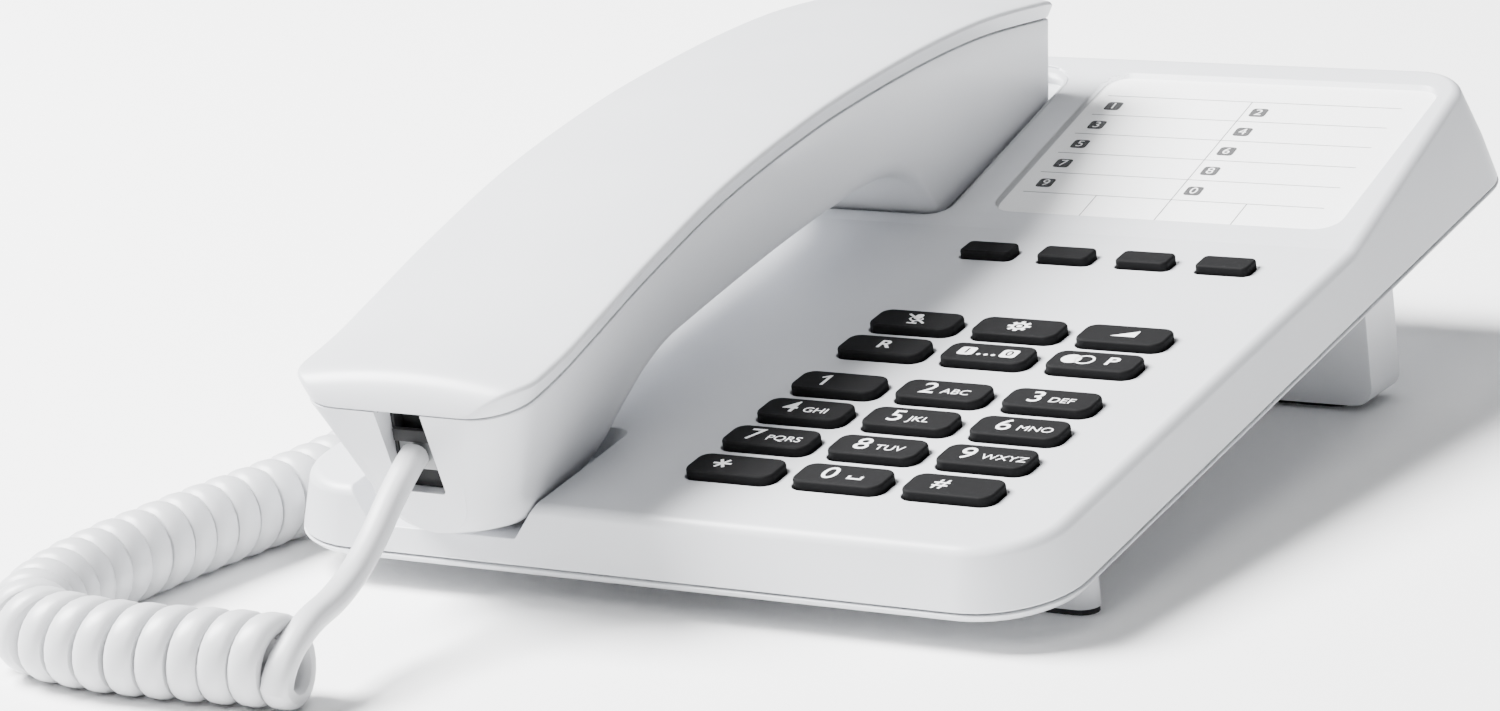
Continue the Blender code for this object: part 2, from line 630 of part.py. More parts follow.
def handset(deck, mat, metal_mat, dark_mat, foam_mat, plastic_mat):
    body = handset_shell("handset_body", "body", BODY_STEPS, mat, deck)
    handset_shell("handset_cap", "cap", CAP_STEPS, mat, deck)

    cuts = bmesh.new()
    block(HANDSET_X - 4.7, HANDSET_X + 4.7, -22.0, -2.0, 5.8, 40.0, cuts)
    for index in range(7):
        angle = math.tau * index / 6
        reach = 0.0 if index == 6 else 5.0
        disc(HANDSET_X + reach * math.cos(angle), 170.0 + reach * math.sin(angle), 1.1, -6.0, 8.0, 8, cuts)
    for offset in (-3.0, 0.0, 3.0):
        block(HANDSET_X + offset - 0.6, HANDSET_X + offset + 0.6, 10.0, 14.0, -9.0, -1.0, cuts)
    boolean(body, piece("handset_opening_cut", cuts, None, deck))

    x, y, z = HANDSET_PLUG
    socket = jack_body(5.4, 4.2, 4.0, 3.0, 12.0, 10.0)
    obj = piece("handset_socket", socket, plastic_mat, deck, (x, y + 3.4, z))
    obj.rotation_euler = (0.0, 0.0, math.pi)
    capsule = turned(((4.9, -2.6), (4.9, 1.6), (4.2, 1.9)), 16)
    piece("microphone", capsule, dark_mat, deck, (HANDSET_X, 12.0, 0.4))
    weight = block(-6.0, 6.0, 66.0, 118.0, 17.5, 24.0)
    piece("handset_weight", weight, metal_mat, deck, (HANDSET_X, 0.0, 0.0))
    receiver = turned(((9.0, 0.0), (15.0, 1.2), (15.0, 3.4), (11.0, 3.6), (11.0, 7.6), (8.0, 8.0)), 24)
    obj = piece("receiver_capsule", receiver, dark_mat, deck, (HANDSET_X, 170.0, 5.5))
    obj.rotation_euler = (math.atan(LABEL_SLOPE), 0.0, 0.0)
    obj = piece("receiver_gasket", gasket(10.2, 14.4, 1.0), foam_mat, deck, (HANDSET_X, 170.0, 4.1))
    obj.rotation_euler = (math.atan(LABEL_SLOPE), 0.0, 0.0)


def gasket(inner, outer, height):
    bm = bmesh.new()
    sides = 24
    rows = []
    for radius, z in ((inner, 0.0), (outer, 0.0), (outer, height), (inner, height)):
        rows.append([bm.verts.new((radius * math.cos(math.tau * i / sides),
                                   radius * math.sin(math.tau * i / sides), z)) for i in range(sides)])
    for k in range(4):
        lower, upper = rows[k], rows[(k + 1) % 4]
        for i in range(sides):
            j = (i + 1) % sides
            bm.faces.new((lower[i], lower[j], upper[j], upper[i]))
    return bm


# cord

def plug_body(half_x, half_z, length):
    """Modular plug, nose at y = 0, cord end at y = length."""
    def square(half_w, half_h, y):
        return [(half_w, y, half_h), (-half_w, y, half_h), (-half_w, y, -half_h), (half_w, y, -half_h)]
    return loft([square(half_x - 0.5, half_z - 0.4, 0.0), square(half_x, half_z, 0.6),
                 square(half_x, half_z, length - 0.8), square(half_x - 0.6, half_z - 0.4, length)])


def cord(deck, plug_mat, cord_mat):
    x, y, z = HANDSET_PLUG
    obj = piece("cord_plug_handset", plug_body(3.7, 2.6, 11.0), plug_mat, deck, (x, y + 11.0, z))
    obj.rotation_euler = (0.0, 0.0, math.pi)
    obj = piece("cord_plug_base", plug_body(3.7, 2.15, 11.6), plug_mat, deck,
                (-67.3, JACK["y"], JACK["z"]))
    obj.rotation_euler = (0.0, 0.0, math.pi / 2)
    tube("cord_lead", smooth_route(LEAD_ROUTE, 6.0), CORD_D, cord_mat, 2)
    tube("cord_tail", smooth_route(TAIL_ROUTE, 6.0), CORD_D, cord_mat, 2)
    route = [(px, py, COIL_D / 2 + 0.02) for px, py in COIL_ROUTE]
    tube("cord_coil", smooth_route(route, 9.0), COIL_D, cord_mat, 3)


def main():
    clear_scene()
    deck = bpy.data.objects.new("deck_frame", None)
    bpy.context.scene.collection.objects.link(deck)
    deck.location = (DECK_X * MM, DECK_Y * MM, DECK_Z * MM)
    deck.rotation_euler = (TILT, 0.0, 0.0)

    white = finish("white_shell", (0.83, 0.84, 0.86), 0.35)
    charcoal = finish("charcoal_rubber", (0.03, 0.03, 0.032), 0.55)
    black = finish("black_rubber", (0.015, 0.015, 0.016), 0.8)
    steel = finish("zinc_steel", (0.6, 0.6, 0.62), 0.35, 1.0)
    green = finish("board_green", (0.04, 0.2, 0.09), 0.5)
    dark = finish("dark_plastic", (0.05, 0.05, 0.055), 0.5)
    paper = finish("white_paper", (0.9, 0.9, 0.9), 0.8)
    clear = finish("clear_plastic", (0.92, 0.94, 0.95), 0.1)
    cord_grey = finish("cord_sheath", (0.75, 0.75, 0.77), 0.45)
    foam = finish("grey_foam", (0.2, 0.2, 0.21), 0.95)

    upper_housing(deck, white)
    lower_housing(deck, white)
    keys(deck, charcoal)
    index_card(deck, paper, clear)
    electronics(deck, green, charcoal, steel, dark)
    hook_switch(deck, white, steel, dark)
    screws(deck, steel)
    rear_stand(deck, white)
    rubber_pads(black)
    handset(deck, white, steel, dark, foam, dark)
    cord(deck, clear, cord_grey)


main()
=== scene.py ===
import math
import bmesh
import bpy
from mathutils import Matrix, Vector


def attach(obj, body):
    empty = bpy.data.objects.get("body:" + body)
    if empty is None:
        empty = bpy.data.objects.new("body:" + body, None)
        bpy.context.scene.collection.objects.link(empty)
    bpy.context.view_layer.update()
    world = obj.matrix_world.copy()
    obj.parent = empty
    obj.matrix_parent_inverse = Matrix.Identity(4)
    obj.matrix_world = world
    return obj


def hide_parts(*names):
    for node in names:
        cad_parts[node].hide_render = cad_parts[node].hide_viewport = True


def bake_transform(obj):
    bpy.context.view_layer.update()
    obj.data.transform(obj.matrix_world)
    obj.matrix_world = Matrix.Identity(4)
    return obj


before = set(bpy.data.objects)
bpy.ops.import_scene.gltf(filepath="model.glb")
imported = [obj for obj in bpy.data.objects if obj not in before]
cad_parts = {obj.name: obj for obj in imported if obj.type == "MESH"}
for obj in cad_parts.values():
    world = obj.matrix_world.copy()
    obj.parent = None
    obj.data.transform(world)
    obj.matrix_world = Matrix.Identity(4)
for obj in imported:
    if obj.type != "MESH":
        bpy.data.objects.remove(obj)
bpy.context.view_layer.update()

# Shapes are modelled in millimetres in the deck frame (x right, y up the slope from the front
# top edge, z square to the keypad) and moved to the row frame when they are finished.
tilt = math.radians(7.5)
deckOrigin = (0.00145, -0.09982, 0.01766)
deckPlace = Matrix.Translation(deckOrigin) @ Matrix.Rotation(tilt, 4, "X") @ Matrix.Scale(0.001, 4)
worldPlace = Matrix.Scale(0.001, 4)


# camera

def makeCamera():
    view = {"place": (0.389468, -0.716784, 0.230829), "yaw": 30.63, "pitch": -14.36, "roll": -3.81,
            "lens": 108.43}
    data = bpy.data.cameras.new("camera")
    data.sensor_width = 36
    data.lens = view["lens"]
    data.clip_start = 0.05
    data.clip_end = 50
    camera = bpy.data.objects.new("camera", data)
    bpy.context.scene.collection.objects.link(camera)
    turn = (Matrix.Rotation(math.radians(view["yaw"]), 4, "Z")
            @ Matrix.Rotation(math.radians(90 + view["pitch"]), 4, "X")
            @ Matrix.Rotation(math.radians(view["roll"]), 4, "Z"))
    camera.matrix_world = Matrix.Translation(view["place"]) @ turn
    bpy.context.scene.camera = camera
    print("camera placed")


makeCamera()


# shader building

class Signal:
    # one shader value or colour that takes part in plain arithmetic

    def __init__(self, graph, socket):
        self.graph = graph
        self.socket = socket

    def blendWith(self, operation, first, second):
        flat = all(not isinstance(v, Signal) or v.socket.type == "VALUE" for v in (first, second))
        flat = flat and not any(isinstance(v, (tuple, list)) for v in (first, second))
        if flat:
            return self.graph.add("Math", {"operation": operation}, {0: first, 1: second})
        return self.graph.add("VectorMath", {"operation": operation}, {0: first, 1: second})

    def __add__(self, other):
        return self.blendWith("ADD", self, other)

    def __radd__(self, other):
        return self.blendWith("ADD", other, self)

    def __sub__(self, other):
        return self.blendWith("SUBTRACT", self, other)

    def __rsub__(self, other):
        return self.blendWith("SUBTRACT", other, self)

    def __mul__(self, other):
        return self.blendWith("MULTIPLY", self, other)

    def __rmul__(self, other):
        return self.blendWith("MULTIPLY", other, self)


class Graph:
    def __init__(self, name):
        self.material = bpy.data.materials.new(name)
        self.material.use_nodes = True
        self.tree = self.material.node_tree
        self.tree.nodes.clear()

    def feed(self, socket, value):
        if isinstance(value, Signal):
            self.tree.links.new(value.socket, socket)
        elif socket.type == "RGBA" and len(value) == 3:
            socket.default_value = (*value, 1.0)
        elif socket.type == "VECTOR" and isinstance(value, (int, float)):
            socket.default_value = (value, value, value)
        else:
            socket.default_value = value

    def add(self, kind, settings=None, values=None, output=0):
        node = self.tree.nodes.new("ShaderNode" + kind)
        for name, value in (settings or {}).items():
            setattr(node, name, value)
        for name, value in (values or {}).items():
            self.feed(node.inputs[name], value)
        return Signal(self, node.outputs[output]) if node.outputs else node

    def millimetres(self):
        return self.add("TexCoord", output="Object") * 1000.0

    def noise(self, size, detail):
        # noise with features of about that many millimetres, centred on zero
        values = {"Vector": self.millimetres(), "Scale": 1.0 / size, "Detail": detail}
        return self.add("TexNoise", {}, values) - 0.5

    def mixColour(self, amount, first, second):
        node = self.tree.nodes.new("ShaderNodeMix")
        node.data_type = "RGBA"
        node.clamp_factor = True
        for socket, value in zip((node.inputs[0], node.inputs[6], node.inputs[7]), (amount, first, second)):
            self.feed(socket, value)
        return Signal(self, node.outputs[2])

    def bump(self, height, distance, strength):
        values = {"Height": height, "Distance": distance * 0.001, "Strength": strength}
        return self.add("Bump", {}, values)

    def surface(self, values):
        shader = self.add("BsdfPrincipled", {}, values)
        out = self.tree.nodes.new("ShaderNodeOutputMaterial")
        self.tree.links.new(shader.socket, out.inputs["Surface"])
        return self.material


plasticFinish = {"cloud": 30.0, "grain": 0.35, "roughSpread": 0.08, "depth": 0.004, "strength": 0.5,
                 "ior": 1.49, "shine": 0.5, "coat": 0.0, "coatRough": 0.2, "metal": 0.0}


def plasticMaterial(name, changes):
    # soft clouds of colour, with a fine moulded grain in the roughness and the bump
    look = plasticFinish | changes
    graph = Graph(name)
    cloud = graph.noise(look["cloud"], 3.0)
    grain = graph.noise(look["grain"], 2.0)
    colour = graph.mixColour(cloud * 1.4 + 0.5, look["dark"], look["light"])
    roughness = look["rough"] + grain * look["roughSpread"] + cloud * 0.05
    values = {"Base Color": colour, "Roughness": roughness,
              "Normal": graph.bump(grain, look["depth"], look["strength"]),
              "IOR": look["ior"], "Specular IOR Level": look["shine"],
              "Coat Weight": look["coat"], "Coat Roughness": look["coatRough"],
              "Metallic": look["metal"]}
    return graph.surface(values)


whiteShell = plasticMaterial("white_shell_satin", {
    "dark": (0.62, 0.63, 0.655), "light": (0.66, 0.67, 0.69), "rough": 0.34, "grain": 0.5,
    "depth": 0.003, "strength": 0.35, "shine": 0.45})
keyRubber = plasticMaterial("key_charcoal_matt", {
    "dark": (0.007, 0.007, 0.0075), "light": (0.010, 0.010, 0.0105), "rough": 0.72, "grain": 0.22,
    "depth": 0.006, "strength": 0.5, "shine": 0.08})
legendInk = plasticMaterial("legend_ink", {
    "dark": (0.86, 0.86, 0.87), "light": (0.92, 0.92, 0.92), "rough": 0.5})
padRubber = plasticMaterial("pad_rubber_black", {
    "dark": (0.012, 0.012, 0.013), "light": (0.02, 0.02, 0.021), "rough": 0.75, "grain": 0.4,
    "depth": 0.02, "strength": 0.7})
cordSheath = plasticMaterial("cord_sheath_grey_white", {
    "dark": (0.54, 0.545, 0.56), "light": (0.59, 0.595, 0.605), "rough": 0.36, "grain": 0.6,
    "depth": 0.004, "strength": 0.3, "shine": 0.5})
cardPaper = plasticMaterial("card_paper", {
    "dark": (0.94, 0.945, 0.95), "light": (0.97, 0.97, 0.97), "rough": 0.6, "grain": 0.18,
    "depth": 0.004, "strength": 0.4})
cardInk = plasticMaterial("card_line_ink", {
    "dark": (0.12, 0.12, 0.125), "light": (0.16, 0.16, 0.165), "rough": 0.8, "shine": 0.05})
badgeInk = plasticMaterial("card_badge_ink", {
    "dark": (0.03, 0.03, 0.032), "light": (0.042, 0.042, 0.044), "rough": 0.8, "shine": 0.05})
darkPlastic = plasticMaterial("socket_dark", {
    "dark": (0.012, 0.012, 0.013), "light": (0.02, 0.02, 0.021), "rough": 0.55, "grain": 0.3,
    "shine": 0.25})
plugPlastic = plasticMaterial("plug_smoke", {
    "dark": (0.15, 0.155, 0.16), "light": (0.22, 0.225, 0.23), "rough": 0.18, "coat": 0.5})
# painted shade: near-black colour for the band that stands in for the shadow inside the handset's parting
# groove
seamShadow = plasticMaterial("seam_shadow", {
    "dark": (0.02, 0.02, 0.022), "light": (0.03, 0.03, 0.032), "rough": 0.8, "shine": 0.1})
zincSteel = plasticMaterial("zinc_steel", {
    "dark": (0.50, 0.50, 0.50), "light": (0.66, 0.66, 0.65), "rough": 0.32, "grain": 0.25, "metal": 1.0,
    "depth": 0.006, "roughSpread": 0.2})
contactGold = plasticMaterial("contact_gold", {
    "dark": (0.72, 0.5, 0.2), "light": (0.85, 0.62, 0.28), "rough": 0.25, "metal": 1.0})
boardGreen = plasticMaterial("board_green", {
    "dark": (0.02, 0.12, 0.05), "light": (0.04, 0.19, 0.08), "rough": 0.4, "grain": 1.5, "coat": 0.4})
foamGrey = plasticMaterial("foam_grey", {
    "dark": (0.10, 0.10, 0.105), "light": (0.19, 0.19, 0.2), "rough": 0.95, "grain": 0.6, "depth": 0.15,
    "strength": 1.0})
clearSheet = plasticMaterial("clear_sheet", {
    "dark": (0.95, 0.95, 0.95), "light": (0.98, 0.98, 0.98), "rough": 0.16, "grain": 4.0,
    "shine": 0.3})
clearSheet.node_tree.nodes["Principled BSDF"].inputs["Alpha"].default_value = 0.03
print("materials ready")


# shared modelling steps

def select(obj):
    bpy.ops.object.select_all(action="DESELECT")
    obj.select_set(True)
    bpy.context.view_layer.objects.active = obj


def rough(name, bm):
    bmesh.ops.remove_doubles(bm, verts=bm.verts, dist=0.001)
    bmesh.ops.recalc_face_normals(bm, faces=bm.faces)
    mesh = bpy.data.meshes.new(name)
    bm.to_mesh(mesh)
    bm.free()
    obj = bpy.data.objects.new(name, mesh)
    bpy.context.scene.collection.objects.link(obj)
    return obj


def useModifier(obj, kind, **settings):
    select(obj)
    modifier = obj.modifiers.new(kind.lower(), kind)
    for name, value in settings.items():
        setattr(modifier, name, value)
    bpy.ops.object.modifier_apply(modifier=modifier.name)


def carve(obj, bm, operation="DIFFERENCE"):
    cutter = rough("cutter", bm)
    useModifier(obj, "BOOLEAN", object=cutter, operation=operation, solver="EXACT")
    bpy.data.objects.remove(cutter, do_unlink=True)


def soften(obj, width, segments=2, angle=35):
    useModifier(obj, "BEVEL", width=width, segments=segments, limit_method="ANGLE",
                angle_limit=math.radians(angle), miter_outer="MITER_ARC", use_clamp_overlap=True)


def finish(obj, material, body, place=None, smooth=30, weighted=False, creases=None):
    if creases:
        for edge in obj.data.edges:
            a, b = (obj.data.vertices[i].co for i in edge.vertices)
            if creases(a, b):
                edge.use_edge_sharp = True
    obj.data.transform(place or deckPlace)
    select(obj)
    if weighted:
        for face in obj.data.polygons:
            face.use_smooth = True
        useModifier(obj, "WEIGHTED_NORMAL", keep_sharp=True, weight=60)
    else:
        bpy.ops.object.shade_smooth_by_angle(angle=math.radians(smooth), keep_sharp_edges=True)
    obj.data.materials.clear()
    obj.data.materials.append(material)
    if body:
        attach(obj, body)
    return obj


def loft(rings, bm=None, closed=True):
    bm = bm or bmesh.new()
    rows = [[bm.verts.new(point) for point in ring] for ring in rings]
    for lower, upper in zip(rows, rows[1:]):
        for i in range(len(lower)):
            j = (i + 1) % len(lower)
            bm.faces.new((lower[i], lower[j], upper[j], upper[i]))
    if closed:
        bm.faces.new(rows[0])
        bm.faces.new(rows[-1])
    return bm


def roundedOutline(x0, x1, y0, y1, radius, steps=6):
    points = []
    corners = ((x1 - radius, y1 - radius, 0), (x0 + radius, y1 - radius, 90),
               (x0 + radius, y0 + radius, 180), (x1 - radius, y0 + radius, 270))
    for cx, cy, start in corners:
        for i in range(steps + 1):
            angle = math.radians(start + 90 * i / steps)
            points.append((cx + radius * math.cos(angle), cy + radius * math.sin(angle)))
    return points


def prism(outline, z0, z1, bm=None):
    return loft([[(x, y, z) for x, y in outline] for z in (z0, z1)], bm)


def block(x0, x1, y0, y1, z0, z1, bm=None):
    return prism(((x0, y0), (x1, y0), (x1, y1), (x0, y1)), z0, z1, bm)


def turned(profile, sides, bm=None, centre=(0, 0)):
    rings = []
    for radius, z in profile:
        angles = [math.tau * i / sides for i in range(sides)]
        rings.append([(centre[0] + radius * math.cos(a), centre[1] + radius * math.sin(a), z)
                      for a in angles])
    return loft(rings, bm)


def along(table, at):
    # smooth value from (position, value) pairs
    if at <= table[0][0]:
        return table[0][1]
    for i in range(len(table) - 1):
        (a, va), (b, vb) = table[i], table[i + 1]
        if at <= b:
            before = table[max(i - 1, 0)]
            after = table[min(i + 2, len(table) - 1)]
            slopeA = (vb - before[1]) / (b - before[0])
            slopeB = (after[1] - va) / (after[0] - a)
            t = (at - a) / (b - a)
            width = b - a
            return ((2 * t**3 - 3 * t**2 + 1) * va + (t**3 - 2 * t**2 + t) * slopeA * width
                    + (3 * t**2 - 2 * t**3) * vb + (t**3 - t**2) * slopeB * width)
    return table[-1][1]


def smoothRoute(points, spacing):
    points = [Vector(p) for p in points]
    dense = []
    for i in range(len(points) - 1):
        p0, p1 = points[max(i - 1, 0)], points[i]
        p2, p3 = points[i + 1], points[min(i + 2, len(points) - 1)]
        for step in range(24):
            t = step / 24
            dense.append(0.5 * (2 * p1 + (p2 - p0) * t + (2 * p0 - 5 * p1 + 4 * p2 - p3) * t * t
                                + (3 * p1 - p0 - 3 * p2 + p3) * t**3))
    dense.append(points[-1])
    walked = [0.0]
    for a, b in zip(dense, dense[1:]):
        walked.append(walked[-1] + (b - a).length)
    count = max(2, round(walked[-1] / spacing))
    spaced = []
    k = 0
    for i in range(count + 1):
        want = walked[-1] * i / count
        while k < len(dense) - 2 and walked[k + 1] < want:
            k += 1
        spaced.append(dense[k].lerp(dense[k + 1], (want - walked[k]) / max(walked[k + 1] - walked[k], 1e-9)))
    return spaced


def routeLength(points):
    return sum((b - a).length for a, b in zip(points, points[1:]))


# curly cord

curl = {
    "thickness": 4.75, "wide": 5.6, "deep": 3.6, "loose": (4.9, 4.4), "coil": 15.7, "pitch": 5.8,
    "perTurn": 24, "sides": 16, "clear": 0.05, "phase": 0.25, "joinReach": 7,
    "lead": ((-34.55, -113.4, 29.3), (-34.25, -116.4, 28.0), (-33.35, -123.4, 24.2), (-32.35, -131.3, 19.3),
             (-31.45, -139.0, 15.7), (-30.2, -147.0, 13.9), (-28.9, -154.0, 13.7), (-28.2, -158.0, 14.0)),
    "route": ((-27.6, -160.0), (-41.4, -161.2), (-52.8, -162.5), (-64.5, -163.0), (-76.4, -161.5),
              (-82.0, -159.2), (-86.7, -154.0), (-90.0, -145.4), (-91.7, -135.0), (-91.9, -123.4),
              (-91.4, -118.2), (-90.4, -106.9), (-88.9, -95.0), (-88.0, -89.1), (-87.2, -83.3),
              (-86.6, -77.0), (-86.2, -67.0), (-86.1, -53.0), (-86.1, -39.0), (-86.2, -25.0),
              (-86.4, -13.0)),
    "tail": ((-91.5, -6.5, 8.6), (-92.8, 2.0, 10.2), (-94.0, 12.0, 14.5), (-95.4, 22.0, 19.5),
             (-96.2, 32.0, 24.6), (-95.6, 40.5, 29.0), (-92.4, 46.4, 31.4), (-87.0, 49.2, 32.2),
             (-80.0, 49.5, 32.5), (-77.9, 49.5, 32.5)),
}


def coilPath(spec):
    # left-handed helix round the route, resting on the desk
    lift = Vector((0, 0, 1))
    centre = smoothRoute([(x, y, spec["coil"] / 2 + spec["clear"]) for x, y in spec["route"]],
                         spec["pitch"] / spec["perTurn"])
    reach = (spec["coil"] - spec["deep"]) / 2
    half = spec["perTurn"] // 2
    points, axes = [], []
    walked = 0.0
    for i, here in enumerate(centre):
        forward = (centre[min(i + half, len(centre) - 1)] - centre[max(i - half, 0)]).normalized()
        side = lift.cross(forward)
        if i:
            walked += (here - centre[i - 1]).length
        angle = math.tau * walked / spec["pitch"] + spec["phase"]
        points.append(here + reach * (math.cos(angle) * lift + math.sin(angle) * side))
        axes.append(forward)
    return points, axes


def tubeRings(path, wideWays, spec, coiled):
    # nearly round where it hangs loose, flattened in the coil with its wide side along the axis
    rings = []
    count = spec["sides"]
    first, last = coiled
    for i, here in enumerate(path):
        share = max(0.0, min(1.0, (i - first + 4) / 14, (last + 4 - i) / 14))
        wideHalf, deepHalf = ((loose + (tight - loose) * share) / 2
                              for loose, tight in zip(spec["loose"], (spec["wide"], spec["deep"])))
        forward = (path[min(i + 1, len(path) - 1)] - path[max(i - 1, 0)]).normalized()
        wide = wideWays[i] - wideWays[i].dot(forward) * forward
        wide.normalize()
        deep = forward.cross(wide)
        ring = []
        for k in range(count):
            a = math.tau * k / count
            c, s = math.cos(a), math.sin(a)
            c = math.copysign(abs(c) ** 0.8, c)
            s = math.copysign(abs(s) ** 0.8, s)
            ring.append(here + wideHalf * c * wide + deepHalf * s * deep)
        rings.append(ring)
    return rings


def joinSmoothly(first, second, reach):
    # eases the corner where two runs of points meet
    points = first + second
    middle = len(first)
    for _ in range(60):
        copy = [p.copy() for p in points]
        for i in range(max(1, middle - reach), min(len(points) - 1, middle + reach)):
            fade = 0.5 * (1 - abs(i - middle) / reach)
            points[i] = copy[i].lerp((copy[i - 1] + copy[i + 1]) / 2, fade)
    return points


def makeCord():
    spec = curl
    step = math.hypot(math.pi * (spec["coil"] - spec["thickness"]), spec["pitch"]) / spec["perTurn"]
    lead = smoothRoute(spec["lead"], step)
    coil, axes = coilPath(spec)
    last = [coil[-1]] + [Vector(p) for p in spec["tail"]]
    tail = smoothRoute(last, step)[1:]
    path = joinSmoothly(lead, coil, spec["joinReach"])
    path = joinSmoothly(path, tail, spec["joinReach"])
    wideWays = [axes[0]] * len(lead) + axes + [axes[-1]] * len(tail)
    for _ in range(12):
        wideWays = [wideWays[0]] + [(wideWays[i - 1] + wideWays[i + 1]).normalized()
                                    for i in range(1, len(wideWays) - 1)] + [wideWays[-1]]
    split = len(lead) + 2
    rings = tubeRings(path, wideWays, spec, (len(lead), len(lead) + len(coil)))

    leadTube = rough("cord_lead_line", loft(rings[:split + 1]))
    finish(leadTube, cordSheath, None, worldPlace)
    coilTube = rough("cord_curl_line", loft(rings[split:]))
    finish(coilTube, cordSheath, "base", worldPlace)
    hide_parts("cord_lead")
    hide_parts("cord_coil", "cord_tail")

    metres = [p * 0.001 for p in path]
    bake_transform(leadTube)
    routeLength(metres[:split + 1])
    routeLength(metres[split:])
    print("cord", round(routeLength(metres), 3), "m")


makeCord()


# base housing

shape = {"half": 73.51, "x": -1.45, "length": 215.4, "edge": 10.45, "depth": 12.35, "corner": 14.0,
         "kink": 138.5, "slope": math.tan(math.radians(7.8)), "sideDraft": 0.28, "upperDraft": 0.36,
         "round": 1.7}


def deckTop(y):
    return max(0.0, (y - shape["kink"]) * shape["slope"])


def deskLevel(y, height):
    # deck height of a level that far above the desk
    return (height - deckOrigin[2] * 1000 - y * math.sin(tilt)) / math.cos(tilt)


def baseRing(inset, height, steps=12):
    half, length = shape["half"] - inset, shape["length"] - inset
    outline = roundedOutline(-half, half, inset, length, shape["corner"] - min(inset, 6), steps)
    marked = []
    for i, (x, y) in enumerate(outline):
        x2, y2 = outline[(i + 1) % len(outline)]
        marked.append((x, y))
        if abs(x - x2) < 0.001 and min(y, y2) < shape["kink"] < max(y, y2):
            marked.append((x, shape["kink"]))
    ring = []
    coreX, front, rear = half - shape["corner"], shape["corner"], length - shape["corner"]
    for x, y in marked:
        core = Vector((max(-coreX, min(coreX, x)), max(front, min(rear, y))))
        out = (Vector((x, y)) - core).normalized()
        z = 0.0 if callable(height) else height
        for _ in range(4):
            draft = shape["upperDraft"] if z > 0 else shape["sideDraft"]
            px, py = x - out.x * draft * z, y - out.y * draft * z
            if callable(height):
                z = height(py)
        ring.append((px + shape["x"], py, z))
    return ring


def labelPoint(x, t, height):
    angle = math.atan(shape["slope"])
    return (x, shape["kink"] + t * math.cos(angle) - height * math.sin(angle),
            t * math.sin(angle) + height * math.cos(angle))


def labelPrism(outline, low, high, bm=None):
    return loft([[labelPoint(x, t, h) for x, t in outline] for h in (low, high)], bm)


pocket = {"topX": (-60.3, -22.0), "floorX": (-55.6, -25.9), "rear": 33.0, "depth": 5.9}
ear = {"x": (-56.7, -15.3), "y": (143.0, 204.8), "depth": 3.0, "corner": 4.5, "rim": 1.0, "rearRim": 2.6}
card = {"x": (-7.1, 65.4), "t": (7.0, 67.0), "corner": 5.0}
hook = {"x": -45.0, "y": 152.5, "halfX": 6.0, "halfY": 3.0, "gap": 0.4}
lineJack = {"x": 34.0, "z": -1.2}
sideJack = {"y": 150.0, "z": -4.8}
screwSpots = ((-66.0, 46.0), (64.0, 46.0), (-65.0, 199.0), (63.0, 199.0))
footSpot = {"x": 65.85, "y": 23.6, "half": 3.8, "radius": 3.2}


keys = {"x": 27.7, "pitchX": 20.9, "size": (17.2, 8.0), "corner": 2.3, "function": 88.3, "recall": 75.6,
        "dialBottom": 20.05, "pitchY": 12.64, "gap": 0.32}
directKeys = {"x": 3.42, "pitch": 16.24, "y": 125.3, "size": (10.6, 5.5), "corner": 1.15}


def keyLayout():
    # name, x, y, size and corner radius of every key
    names = (("key_mute", "key_settings", "key_volume"), ("key_recall", "key_memory", "key_redial"),
             ("key_1", "key_2", "key_3"), ("key_4", "key_5", "key_6"), ("key_7", "key_8", "key_9"),
             ("key_star", "key_0", "key_hash"))
    rows = [keys["function"], keys["recall"]]
    rows += [keys["dialBottom"] + keys["pitchY"] * k for k in (3, 2, 1, 0)]
    layout = []
    for rowNames, y in zip(names, rows):
        for column, name in enumerate(rowNames):
            x = keys["x"] + (column - 1) * keys["pitchX"]
            layout.append((name, x, y, keys["size"], keys["corner"]))
    for k in range(4):
        x = directKeys["x"] + k * directKeys["pitch"]
        layout.append((f"key_direct_{k + 1}", x, directKeys["y"], directKeys["size"], directKeys["corner"]))
    return layout


def centredOutline(size, corner, grow, steps=6):
    halfX, halfY = size[0] / 2 + grow, size[1] / 2 + grow
    return roundedOutline(-halfX, halfX, -halfY, halfY, max(corner + grow, 0.25), steps)


def earOutline(grow, rear, corner):
    # cradle recess: tight front corners, wider rear ones
    x0, x1 = ear["x"][0] - grow, ear["x"][1] + grow
    t0, t1 = ear["y"][0] - shape["kink"] - grow, ear["y"][1] - shape["kink"] + rear
    front = ear["corner"] + grow
    points = []
    corners = ((x1 - corner, t1 - corner, 0, corner), (x0 + corner, t1 - corner, 90, corner),
               (x0 + front, t0 + front, 180, front), (x1 - front, t0 + front, 270, front))
    for cx, cy, start, radius in corners:
        for i in range(13):
            a = math.radians(start + 90 * i / 12)
            points.append((cx + radius * math.cos(a), cy + radius * math.sin(a)))
    return points


def ringPrism(inner, outer, low, high):
    # closed band between two outlines of the label frame
    bm = bmesh.new()
    rows = [[bm.verts.new(labelPoint(x, t, h)) for x, t in outline]
            for outline, h in ((inner, low), (outer, low), (outer, high), (inner, high))]
    for row, after in zip(rows, rows[1:] + rows[:1]):
        for i in range(len(row)):
            j = (i + 1) % len(row)
            bm.faces.new((row[i], row[j], after[j], after[i]))
    return bm


